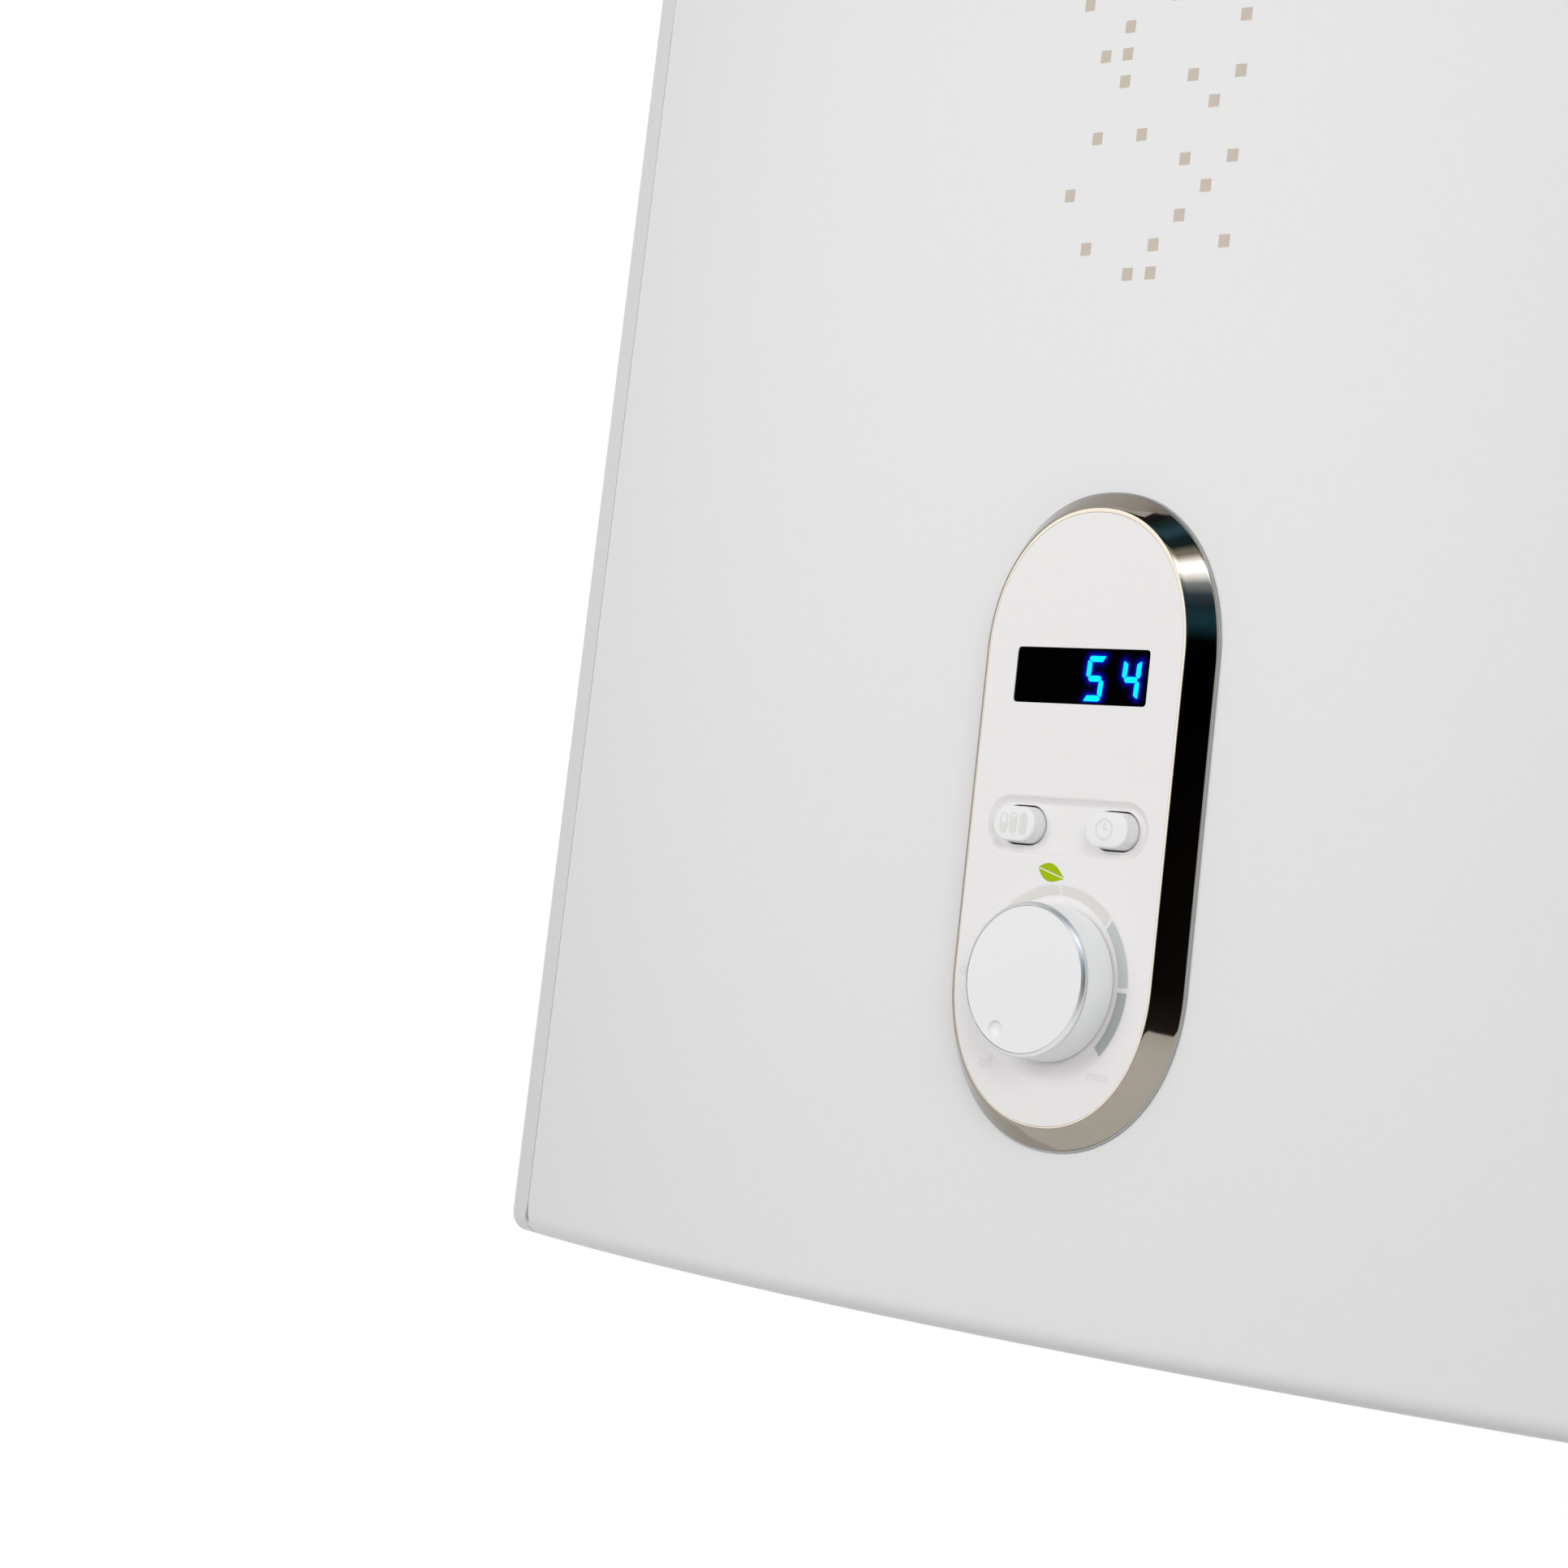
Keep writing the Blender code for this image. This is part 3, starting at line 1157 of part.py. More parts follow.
def make_face_plate():
    """The moulded white plate: a shell with a sunk key tray, a dish for the knob and a window."""
    half, cap, tall = FACE_WIDTH / 2 - GAP, FACE_CAP - GAP, FACE_HEIGHT / 2 - GAP
    inner = pill(half - FACE_WALL, cap - FACE_WALL, tall - FACE_WALL)
    plate = slab("face_plate", [pill(half, cap, tall)], FACE_FOOT, FACE_RISE, "white_panel")
    cut(on_panel(plate), on_panel(slab("face_hollow", [inner], FACE_FOOT - OVERRUN, FACE_RISE - FACE_WALL)))
    floor_length = TRAY_HALF_LENGTH - TRAY_SLOPE
    floor_radius = TRAY_RADIUS - TRAY_SLOPE
    middle = (0.0, -TRAY_DROP)
    under = TRAY_FLOOR - TRAY_FLOOR_WALL
    backing = slab("tray_backing", [stadium(TRAY_HALF_LENGTH, TRAY_RADIUS, middle)], under,
                   FACE_RISE - FACE_WALL / 2)
    join(plate, on_panel(backing))
    grow = TRAY_SLOPE * OVERRUN / TRAY_DEPTH
    tray = tapered("tray_recess", stadium(floor_length, floor_radius, middle), TRAY_FLOOR,
                   stadium(TRAY_HALF_LENGTH + grow, TRAY_RADIUS + grow, middle), FACE_RISE + OVERRUN)
    cut(plate, on_panel(tray))
    for name, side in KEYS.items():
        spot = (side * KEY_CENTRE, -TRAY_DROP)
        outline = stadium(KEY_HALF_LENGTH + GAP, KEY_RADIUS + GAP, spot)
        cut(plate, on_panel(slab(f"{name}_key_hole", [outline], FACE_FOOT, FACE_RISE + OVERRUN)))
    window = rectangle(WINDOW_HALF_WIDTH + GAP, WINDOW_HALF_HEIGHT + GAP, (0.0, WINDOW_RISE))
    cut(plate, on_panel(slab("window_opening", [window], FACE_FOOT, FACE_RISE + OVERRUN)))
    dish = [(0.0, FACE_RISE + OVERRUN), (DISH_RADIUS, FACE_RISE + OVERRUN), (DISH_RADIUS, FACE_RISE),
            (DISH_FLOOR_RADIUS, DISH_FLOOR), (0.0, DISH_FLOOR)]
    cut(plate, on_panel(turned("knob_dish", (0.0, 0.0), dish, steps=KNOB_STEPS), up=-KNOB_DROP))
    bush_hole = cylinder("bushing_hole", (0.0, 0.0), BUSHING_RADIUS + GAP, FACE_FOOT, FACE_RISE)
    cut(plate, on_panel(bush_hole, up=-KNOB_DROP))


def make_panel_housing():
    """The black tub behind the face plate, with bosses for the circuit board."""
    cap = FACE_CAP / (FACE_WIDTH / 2) * TUB_HALF_WIDTH
    outer = pill(TUB_HALF_WIDTH, cap, TUB_HALF_HEIGHT)
    inner = pill(TUB_HALF_WIDTH - TUB_WALL, cap - TUB_WALL, TUB_HALF_HEIGHT - TUB_WALL)
    floor = -TUB_DEPTH + TUB_WALL
    tub = on_panel(slab("panel_housing", [outer], -TUB_DEPTH, FACE_FOOT - GAP, "black_housing"))
    cut(tub, on_panel(slab("tub_hollow", [inner], floor, FACE_FOOT + OVERRUN)))
    for number, (x, y) in enumerate(boss_places(), 1):
        boss = cylinder(f"tub_boss_{number}", (x, y), TUB_BOSS_RADIUS, floor - TUB_WALL / 2, PCB_BACK - GAP,
                        steps=8)
        join(tub, on_panel(boss))
    hole = cylinder("tub_cable_hole", (0.0, -CABLE_DROP), CABLE_RADIUS + GAP, -TUB_DEPTH - OVERRUN,
                    floor + OVERRUN, steps=8)
    cut(tub, on_panel(hole))


def boss_places():
    """The four bosses under the control board."""
    x = PCB_HALF_WIDTH - TUB_BOSS_INSET
    y = PCB_HALF_HEIGHT * TUB_BOSS_DROP_SHARE
    return [(side * x, way * y) for side in (-1, 1) for way in (-1, 1)]


def make_display():
    """The black window, the digit module behind it and the control board with its soldered switches."""
    middle = (0.0, WINDOW_RISE)
    ledge = FACE_RISE - FACE_WALL - GAP
    back = ledge - WINDOW_STEP_HEIGHT
    front = slab("display_window", [rectangle(WINDOW_HALF_WIDTH, WINDOW_HALF_HEIGHT, middle)],
                 back + WINDOW_STEP_HEIGHT / 2, FACE_RISE - GAP / 2, "smoked_window")
    step = rectangle(WINDOW_HALF_WIDTH + WINDOW_STEP, WINDOW_HALF_HEIGHT + WINDOW_STEP, middle)
    join(on_panel(front), on_panel(slab("window_ledge", [step], back, ledge)))
    module = rectangle(MODULE_HALF_WIDTH, MODULE_HALF_HEIGHT, middle)
    on_panel(slab("display_module", [module], PCB_FRONT + GAP, back - GAP, "black_phenolic"))
    cap = FACE_CAP / (FACE_WIDTH / 2) * PCB_HALF_WIDTH
    board = slab("control_board", [pill(PCB_HALF_WIDTH, cap, PCB_HALF_HEIGHT, PILL_STEPS // 2)],
                 PCB_BACK, PCB_FRONT, "circuit_green")
    on_panel(board)
    for name, side in KEYS.items():
        switch = slab(f"{name}_switch", [rectangle(SWITCH_HALF_WIDTH, SWITCH_HALF_WIDTH)],
                      PCB_FRONT - SOLDER_DEPTH, PCB_FRONT + SWITCH_HEIGHT)
        join(board, on_panel(switch, side * KEY_CENTRE, -TRAY_DROP))


def make_keys():
    """The two pill-shaped keys with their collars and stems."""
    for name, side in KEYS.items():
        across, up = side * KEY_CENTRE, -TRAY_DROP
        cap = slab(f"{name}_button", [stadium(KEY_HALF_LENGTH, KEY_RADIUS)],
                   KEY_COLLAR_TOP - KEY_COLLAR_HEIGHT / 2, KEY_TOP, "white_key")
        soften(cap, KEY_EDGE)
        collar = slab(f"{name}_collar", [stadium(KEY_HALF_LENGTH + KEY_COLLAR, KEY_RADIUS + KEY_COLLAR)],
                      KEY_COLLAR_TOP - KEY_COLLAR_HEIGHT, KEY_COLLAR_TOP)
        stem = cylinder(f"{name}_stem", (0.0, 0.0), KEY_STEM_RADIUS, KEY_STEM_END,
                        KEY_COLLAR_TOP - KEY_COLLAR_HEIGHT / 2, steps=8)
        join(on_panel(cap, across, up), on_panel(collar, across, up), on_panel(stem, across, up))


# The knob, in its own frame: z out from the casing's crown, about the knob's axis

KNOB_WALL = 0.0018
KNOB_SHOULDER_RADIUS = 0.0190
KNOB_RING_RADIUS = 0.0192
KNOB_RING_INNER_RADIUS = 0.0181
KNOB_RING_EDGE = 0.0004
KNOB_CHAMFER = 0.0012
KNOB_FACE_HEIGHT = 0.0012
KNOB_FLARE_TOP = 0.0075
KNOB_FLARE_SLIM = 0.0002
KNOB_FOOT = 0.0056
KNOB_ROOF = 0.0014
HUB_RADIUS = 0.0052
HUB_FOOT = 0.0074
DIMPLE_RADIUS = 0.00225
DIMPLE_DEPTH = 0.0009
DIMPLE_OFFSET = 0.0150
DIMPLE_ANGLE = math.radians(240)

KNOB_SEAT = KNOB_TOP - KNOB_FACE_HEIGHT - GAP


def shaft_flat(name, margin, low, high):
    """The box that takes the flat off the shaft, or leaves it in the knob's bore."""
    reach = 2 * HUB_RADIUS
    return on_knob(box(name, (-reach, SHAFT_FLAT + margin, low), (reach, reach, high)))


def on_knob(obj):
    """Lay an object on the knob's axis."""
    return on_panel(obj, up=-KNOB_DROP)


def make_knob():
    """The flared knob with its bright ring and dimpled face, and the encoder that it turns."""
    inner = KNOB_SHOULDER_RADIUS - KNOB_WALL
    roof = KNOB_SEAT - KNOB_ROOF
    body = [
        (0.0, KNOB_SEAT),
        (KNOB_SHOULDER_RADIUS - KNOB_RING_EDGE, KNOB_SEAT),
        (KNOB_SHOULDER_RADIUS, KNOB_SEAT - KNOB_RING_EDGE),
        (KNOB_RADIUS - KNOB_FLARE_SLIM, KNOB_FLARE_TOP),
        (KNOB_RADIUS, KNOB_FOOT),
        (KNOB_RADIUS - KNOB_WALL, KNOB_FOOT),
        (inner, roof),
        (HUB_RADIUS, roof),
        (HUB_RADIUS, HUB_FOOT),
        (0.0, HUB_FOOT),
    ]
    knob = on_knob(turned("knob_body", (0.0, 0.0), body, "white_key", steps=KNOB_STEPS))
    bore = on_knob(cylinder("knob_bore", (0.0, 0.0), SHAFT_RADIUS + GAP, HUB_FOOT - OVERRUN, SHAFT_TOP + GAP))
    cut(bore, shaft_flat("knob_bore_flat", GAP, HUB_FOOT - 2 * OVERRUN, SHAFT_TOP + OVERRUN))
    smooth(cut(knob, bore))
    ring = [
        (KNOB_RING_INNER_RADIUS, KNOB_TOP),
        (KNOB_RING_RADIUS - KNOB_CHAMFER / 2, KNOB_TOP - KNOB_CHAMFER / 4),
        (KNOB_RING_RADIUS, KNOB_TOP - KNOB_CHAMFER),
        (KNOB_RING_RADIUS - KNOB_RING_EDGE / 2, KNOB_SEAT + GAP),
        (KNOB_RING_INNER_RADIUS, KNOB_SEAT + GAP),
    ]
    smooth(on_knob(turned("knob_ring", (0.0, 0.0), ring, "chrome", steps=KNOB_STEPS, ring=True)), 25)
    face_radius = KNOB_RING_INNER_RADIUS - GAP
    face = on_knob(cylinder("knob_face", (0.0, 0.0), face_radius, KNOB_SEAT + GAP, KNOB_TOP - GAP / 2,
                            "white_key", steps=KNOB_STEPS))
    ball_radius = (DIMPLE_RADIUS ** 2 + DIMPLE_DEPTH ** 2) / (2 * DIMPLE_DEPTH)
    spot = Vector((DIMPLE_OFFSET * math.cos(DIMPLE_ANGLE), DIMPLE_OFFSET * math.sin(DIMPLE_ANGLE),
                   KNOB_TOP - GAP / 2 - DIMPLE_DEPTH + ball_radius))

    def make_ball(work):
        bmesh.ops.create_uvsphere(work, u_segments=16, v_segments=12, radius=ball_radius)
        bmesh.ops.translate(work, vec=spot, verts=work.verts)

    cut(face, on_knob(mesh_object("dimple_ball", make_ball, None)))
    smooth(face)
    shaft = on_knob(cylinder("encoder_shaft", (0.0, 0.0), SHAFT_RADIUS, PCB_FRONT + ENCODER_HEIGHT / 2,
                             SHAFT_TOP, "zinc_screw"))
    smooth(cut(shaft, shaft_flat("shaft_flat", 0.0, HUB_FOOT - GAP, SHAFT_TOP + OVERRUN)))
    encoder = slab("encoder_body", [rectangle(ENCODER_HALF_WIDTH, ENCODER_HALF_WIDTH)], PCB_FRONT + GAP,
                   PCB_FRONT + ENCODER_HEIGHT, "black_phenolic")
    bushing = cylinder("encoder_bushing", (0.0, 0.0), BUSHING_RADIUS, PCB_FRONT + ENCODER_HEIGHT / 2,
                       BUSHING_TOP)
    shaft_hole = cylinder("encoder_bore", (0.0, 0.0), SHAFT_RADIUS + RUN_GAP,
                          PCB_FRONT + ENCODER_HEIGHT / 2 - GAP, BUSHING_TOP + OVERRUN)
    cut(join(on_knob(encoder), on_knob(bushing)), on_knob(shaft_hole))


def make_control_cable():
    """The lead from the control board, out through the tub and back to the power board."""
    front, _ = board_span()
    top = SHELF_TOP + POST_HEIGHT + GAP + BOARD_SHEET + 2 * GAP
    start_y = CROWN_Y - PCB_BACK + GAP
    start_z = PANEL_Z - CABLE_DROP
    end_y = front + POST_INSET
    exit_y = CROWN_Y + TUB_DEPTH + CABLE_RADIUS + 2 * OVERRUN
    corners = [Vector((0.0, start_y, start_z)), Vector((0.0, exit_y, start_z)),
               Vector((0.0, end_y, start_z)), Vector((0.0, end_y, top))]
    route = [corners[0], corners[1]]
    bend_steps = 6
    for step in range(1, bend_steps + 1):
        share = step / bend_steps
        near = corners[1].lerp(corners[2], share)
        far = corners[2].lerp(corners[3], share)
        route.append(near.lerp(far, share))
    smooth(tube("control_cable", route, CABLE_RADIUS, "cable_grey"))


def main():
    """Build the heater from the outside in."""
    make_front_casing()
    make_side_panels()
    make_back_panel()
    make_top_cover()
    make_bottom_cover()
    make_cover_screws()
    make_wall_brackets()
    make_foam()
    make_tanks()
    make_pipes()
    for name, side in SIDES.items():
        make_flange_set(name, side)
    make_probe()
    make_board_carrier()
    make_power_board()
    make_terminal_block()
    make_safety_cutout()
    make_gland()
    make_chrome_bezel()
    make_face_plate()
    make_panel_housing()
    make_display()
    make_keys()
    make_knob()
    make_control_cable()


main()
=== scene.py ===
"""Scene of a flat wall-hung electric storage water heater with a knob panel.

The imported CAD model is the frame, in metres with +Z up and the front facing -Y. Finer
pieces stand for the CAD nodes that the eye comes close to, and every other node keeps its
shape and gets the finish of its real material.
"""

import logging
import math
import random
from collections.abc import Callable, Sequence
from dataclasses import dataclass, replace
from enum import Enum

import bmesh
import bpy
from mathutils import Matrix, Vector


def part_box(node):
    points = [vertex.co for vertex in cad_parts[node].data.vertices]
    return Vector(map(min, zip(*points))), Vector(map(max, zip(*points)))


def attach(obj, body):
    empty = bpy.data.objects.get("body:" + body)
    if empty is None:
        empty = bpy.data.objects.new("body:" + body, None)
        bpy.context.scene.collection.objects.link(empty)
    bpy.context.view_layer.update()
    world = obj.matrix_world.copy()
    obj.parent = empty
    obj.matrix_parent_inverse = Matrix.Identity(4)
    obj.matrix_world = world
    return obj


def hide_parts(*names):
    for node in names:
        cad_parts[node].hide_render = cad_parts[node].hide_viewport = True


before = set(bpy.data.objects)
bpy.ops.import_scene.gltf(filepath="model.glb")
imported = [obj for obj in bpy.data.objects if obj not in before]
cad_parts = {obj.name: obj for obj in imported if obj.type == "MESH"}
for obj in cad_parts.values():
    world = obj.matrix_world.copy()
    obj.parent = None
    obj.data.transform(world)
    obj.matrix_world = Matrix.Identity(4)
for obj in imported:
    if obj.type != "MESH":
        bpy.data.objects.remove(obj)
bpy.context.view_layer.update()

LOG = logging.getLogger("water_heater")

Point = tuple[float, float]
Outline = list[Point]
Ring = list[Vector]

MM = 0.001
TINY = 1e-6

# The control panel's own frame: x right, y up, z out of the casing's crown
PANEL_Z = -0.5678
CROWN_Y = -0.285
PANEL = Matrix.Translation((0.0, CROWN_Y, PANEL_Z)) @ Matrix.Rotation(math.pi / 2, 4, "X")


class Body(Enum):
    """The bodies of the frame that the finer pieces ride on."""

    HEATER = "heater"
    KNOB = "knob"
    LEVEL_KEY = "level_key"
    TIMER_KEY = "timer_key"


class Grain(Enum):
    """The pattern that the making of a surface leaves on it."""

    PEEL = "soft noise of paint or moulding"
    BRUSHED = "noise drawn out along one axis"
    SPANGLE = "flat crystals of a zinc coat"
    FOAM = "round cells"


class Coat(Enum):
    """What each stretch of the plated frame is finished with, by material number."""

    MIRROR = 0
    # Lip: painted pale cream, a painted highlight of the light that the plated lip mirrors
    LIP = 1
    # Seal: a black band in the gap at the foot, which is also a painted shadow line between frame
    # and casing
    SEAL = 2
    LEDGE = 3


# Nodes and finishes

# A Mix node's colour sockets, because its number sockets have the same names
MIX_A, MIX_B, MIX_RESULT = 6, 7, 2
# Layers of noise in drawn-out lines and in soft paint
BRUSHED_DETAIL, PEEL_DETAIL = 5.0, 2.0


def linear(colour: str) -> tuple[float, float, float, float]:
    """Turn an sRGB hex colour into the linear one that shaders take.

    Args:
        colour: six hex digits, such as "ECEBEA".

    Returns:
        Red, green, blue and a full alpha.
    """
    parts = [int(colour[i : i + 2], 16) / 255 for i in (0, 2, 4)]
    red, green, blue = (c / 12.92 if c <= 0.04045 else ((c + 0.055) / 1.055) ** 2.4 for c in parts)
    return red, green, blue, 1.0


def fill_sockets(node: bpy.types.Node, inputs: dict[str | int, object]) -> None:
    """Give a node's inputs their values and links.

    Args:
        node: the node.
        inputs: a value or an output socket for each input, by name or number.
    """
    for key, value in inputs.items():
        if isinstance(value, bpy.types.NodeSocket):
            node.id_data.links.new(value, node.inputs[key])
        else:
            node.inputs[key].default_value = value


def add_node(
    tree: bpy.types.NodeTree,
    kind: str,
    inputs: dict[str | int, object] | None = None,
    **settings: object,
) -> bpy.types.Node:
    """Add one node, set its options and fill its sockets.

    Args:
        tree: the tree that gets the node.
        kind: Blender's name of the node type.
        inputs: a value or an output socket for each input, by name or number.
        settings: options of the node itself.

    Returns:
        The new node.
    """
    node = tree.nodes.new(kind)
    for name, value in settings.items():
        setattr(node, name, value)
    fill_sockets(node, inputs or {})
    return node


def start_material(name: str) -> tuple[bpy.types.Material, bpy.types.Node]:
    """Make a material that has only its surface shader.

    Args:
        name: the material's name.

    Returns:
        The material and the shader.
    """
    material = bpy.data.materials.new(name)
    material.use_nodes = True
    return material, material.node_tree.nodes["Principled BSDF"]


@dataclass(frozen=True)
class Finish:
    """One real material with the surface that its making gives it.

    The pattern runs between two colours and lifts the surface by a relief, and its size is
    the real one in millimetres.
    """

    name: str
    colour: str
    shade: str
    roughness: float
    spread: float = 0.04
    metallic: float = 0.0
    ior: float = 1.5
    specular: float = 0.5
    grain: Grain = Grain.PEEL
    grain_mm: float = 1.5
    along: tuple[float, float, float] = (1.0, 1.0, 1.0)
    relief_mm: float = 0.0
    glow: float = 0.0

    def material(self) -> bpy.types.Material:
        """Make the material once, and hand out the same one afterwards.

        Returns:
            The material.
        """
        known = bpy.data.materials.get(self.name)
        if known:
            return known
        material, shader = start_material(self.name)
        tree = material.node_tree
        pattern = self.pattern(tree)
        mixed = add_node(
            tree,
            "ShaderNodeMix",
            {"Factor": pattern, MIX_A: linear(self.colour), MIX_B: linear(self.shade)},
            data_type="RGBA",
        )
        least, most = self.roughness - self.spread, self.roughness + self.spread
        rough = add_node(
            tree, "ShaderNodeMapRange", {"Value": pattern, "To Min": least, "To Max": most}
        )
        sockets = {
            "Base Color": mixed.outputs[MIX_RESULT],
            "Roughness": rough.outputs[0],
            "Metallic": self.metallic,
            "IOR": self.ior,
            "Specular IOR Level": self.specular,
        }
        if self.relief_mm:
            lifted = {"Strength": 1.0, "Distance": self.relief_mm * MM, "Height": pattern}
            sockets["Normal"] = add_node(tree, "ShaderNodeBump", lifted).outputs[0]
        if self.glow:
            sockets["Emission Color"] = mixed.outputs[MIX_RESULT]
            sockets["Emission Strength"] = self.glow
        fill_sockets(shader, sockets)
        return material

    def pattern(self, tree: bpy.types.NodeTree) -> bpy.types.NodeSocket:
        """Add the grain's texture.

        Args:
            tree: the material's nodes.

        Returns:
            The output that runs from 0 to 1 over the pattern.
        """
        place = add_node(tree, "ShaderNodeTexCoord").outputs["Object"]
        scale = tuple(1 / (self.grain_mm * MM) / share for share in self.along)
        scaled = add_node(tree, "ShaderNodeMapping", {"Vector": place, "Scale": scale}).outputs[0]
        texture = {"Vector": scaled, "Scale": 1.0}
        if self.grain is Grain.FOAM:
            cells = add_node(tree, "ShaderNodeTexVoronoi", texture, feature="SMOOTH_F1")
            return cells.outputs["Distance"]
        if self.grain is Grain.SPANGLE:
            cells = add_node(tree, "ShaderNodeTexVoronoi", texture, feature="F1")
            split = add_node(tree, "ShaderNodeSeparateColor", {0: cells.outputs["Color"]})
            return split.outputs[0]
        texture["Detail"] = BRUSHED_DETAIL if self.grain is Grain.BRUSHED else PEEL_DETAIL
        return add_node(tree, "ShaderNodeTexNoise", texture).outputs[0]


# Stove enamel on sheet steel: a smooth gloss whose faint orange peel softens reflections
ENAMEL = Finish(
    "white_stove_enamel",
    "ECEBEB",
    "E9E8E8",
    0.34,
    0.02,
    specular=0.2,
    grain_mm=3.0,
    relief_mm=0.002,
)
# The side sheets: the same enamel a trace greyer, as painted shade that darkens the side strip
# beside the seam
SIDE_ENAMEL_PAINTED_SHADE = replace(ENAMEL, name="white_side_enamel_painted_shade", colour="E2E0E1", shade="DFDDDE")
# Hot-dip galvanised sheet: flat zinc crystals a fingertip wide, each at its own grey
GALVANISED = Finish(
    "galvanised_sheet_steel",
    "A9ADB0",
    "C4C8CA",
    0.42,
    0.08,
    metallic=0.85,
    grain=Grain.SPANGLE,
    grain_mm=11.0,
    relief_mm=0.004,
)
# Spark-eroded ABS of the service cover: an even fine matt grain
COVER_ABS = Finish(
    "spark_grained_grey_abs", "BFC1C3", "B5B7B9", 0.55, 0.05, grain_mm=0.7, relief_mm=0.03
)
# Zinc-plated and passivated steel: cool grey with a faint bluish sheen
ZINC = Finish(
    "zinc_plated_steel",
    "B9BBBC",
    "A7ABB0",
    0.32,
    0.06,
    metallic=1.0,
    grain_mm=0.8,
    relief_mm=0.003,
)
# Rigid polyurethane foam: a creamy skin over closed cells
FOAM = Finish(
    "polyurethane_foam",
    "E3D3A2",
    "CDBA84",
    0.85,
    0.05,
    grain=Grain.FOAM,
    grain_mm=1.8,
    relief_mm=0.25,
)
# Cold-rolled stainless sheet of the tanks: lines run round with the rolling direction
TANK_STEEL = Finish(
    "rolled_stainless_steel",
    "C2C0BC",
    "ABA9A5",
    0.30,
    0.06,
    metallic=1.0,
    grain=Grain.BRUSHED,
    grain_mm=0.6,
    along=(40.0, 40.0, 1.0),
    relief_mm=0.004,
)
# Drawn stainless tube: fine die lines along the pipe
PIPE_STEEL = Finish(
    "drawn_stainless_tube",
    "CAC8C4",
    "B2B0AC",
    0.26,
    0.05,
    metallic=1.0,
    grain=Grain.BRUSHED,
    grain_mm=0.5,
    along=(1.0, 1.0, 40.0),
    relief_mm=0.003,
)
# Moulded polyamide marking rings: satin, blue for cold and red for hot
COLD_RING = Finish(
    "blue_moulded_polyamide", "1F57B5", "1A4CA2", 0.42, grain_mm=0.5, relief_mm=0.01
)
HOT_RING = replace(COLD_RING, name="red_moulded_polyamide", colour="C4271F", shade="B0201A")
# Moulded EPDM seal: matt black with a dusty bloom
SEAL = Finish("moulded_epdm_rubber", "1D1D1E", "2A2A2B", 0.75, grain_mm=0.8, relief_mm=0.02)
# Copper tube sheath of the heating elements, dulled by annealing
COPPER = Finish(
    "annealed_copper_sheath",
    "C77F5A",
    "A9674A",
    0.34,
    0.08,
    metallic=1.0,
    grain_mm=4.0,
    relief_mm=0.004,
)
# Extruded magnesium rod: satin grey with chalky patches
MAGNESIUM = Finish(
    "extruded_magnesium",
    "B4B4B0",
    "97978F",
    0.58,
    0.08,
    metallic=0.9,
    grain_mm=2.5,
    relief_mm=0.02,
)
# Compression-moulded phenolic: near black and slightly speckled
PHENOLIC = Finish("moulded_phenolic", "1E1D1E", "2B2A2A", 0.48, grain_mm=0.6, relief_mm=0.01)
# Moulded polyamide of the reset button: a signal red, satin from its mould
RESET_RED = Finish(
    "red_button_polyamide", "B3231C", "A51E18", 0.38, grain_mm=0.5, relief_mm=0.005
)
# Solder-masked glass-fibre board: green lacquer with darker tracks under it
BOARD = Finish(
    "solder_masked_board",
    "14663A",
    "0E4F2C",
    0.40,
    0.05,
    grain=Grain.SPANGLE,
    grain_mm=2.2,
    relief_mm=0.02,
)
# Dark trivalent chrome on moulded ABS: a mirror with a warm grey tone
DARK_CHROME = Finish(
    "dark_chrome_plating",
    "958E84",
    "918A80",
    0.055,
    0.015,
    metallic=1.0,
    grain_mm=7.0,
    relief_mm=0.004,
)
# Pale cream of the frame's lip: a painted highlight, the light that the plated lip mirrors put down
# as a flat satin colour
LIP_PAINTED_HIGHLIGHT = Finish(
    "lip_painted_highlight", "FFF5E2", "FDF2DE", 0.40, 0.04, grain_mm=1.0, relief_mm=0.001
)
# Grey chrome of the ledge at the frame's foot: blurred enough to stay one even tone
LEDGE_CHROME = Finish(
    "grey_chrome_plating",
    "A9ADB0",
    "A4A8AB",
    0.22,
    0.04,
    metallic=1.0,
    grain_mm=3.0,
    relief_mm=0.001,
)
# Satin chrome of the knob's ring: a turned chamfer that blurs what it mirrors
BRIGHT_CHROME = Finish(
    "satin_chrome_plating",
    "D6D8D9",
    "D0D2D3",
    0.42,
    0.04,
    metallic=1.0,
    grain_mm=2.0,
    relief_mm=0.0005,
)
# Injection-moulded glossy ABS of the face plate, white with a trace of warmth
PLATE_ABS = Finish(
    "polished_white_abs",
    "EFECEC",
    "EDEAEA",
    0.22,
    0.02,
    specular=0.35,
    grain_mm=4.0,
    relief_mm=0.001,
)
# White polycarbonate of the knob's face and the keys, a shade cooler than the plate
KEY_WHITE = Finish(
    "satin_white_polycarbonate",
    "F1F1F1",
    "EEEEEE",
    0.32,
    0.03,
    specular=0.3,
    grain_mm=1.2,
    relief_mm=0.002,
)
# Milky white polycarbonate of the knob's body, painted lighter than the face's white: painted light
# that lifts the skirt out of its shade
BODY_WHITE_PAINTED_LIGHT = replace(
    KEY_WHITE, name="white_polycarbonate_painted_light", colour="FBFCFD", shade="F8FAFB", roughness=0.34
)
# Smoked acrylic of the window: black, and too dark to show what lies behind it unlit
WINDOW = Finish(
    "smoked_acrylic",
    "010101",
    "020202",
    0.10,
    0.02,
    ior=1.49,
    specular=0.0015,
    grain_mm=6.0,
    relief_mm=0.001,
)
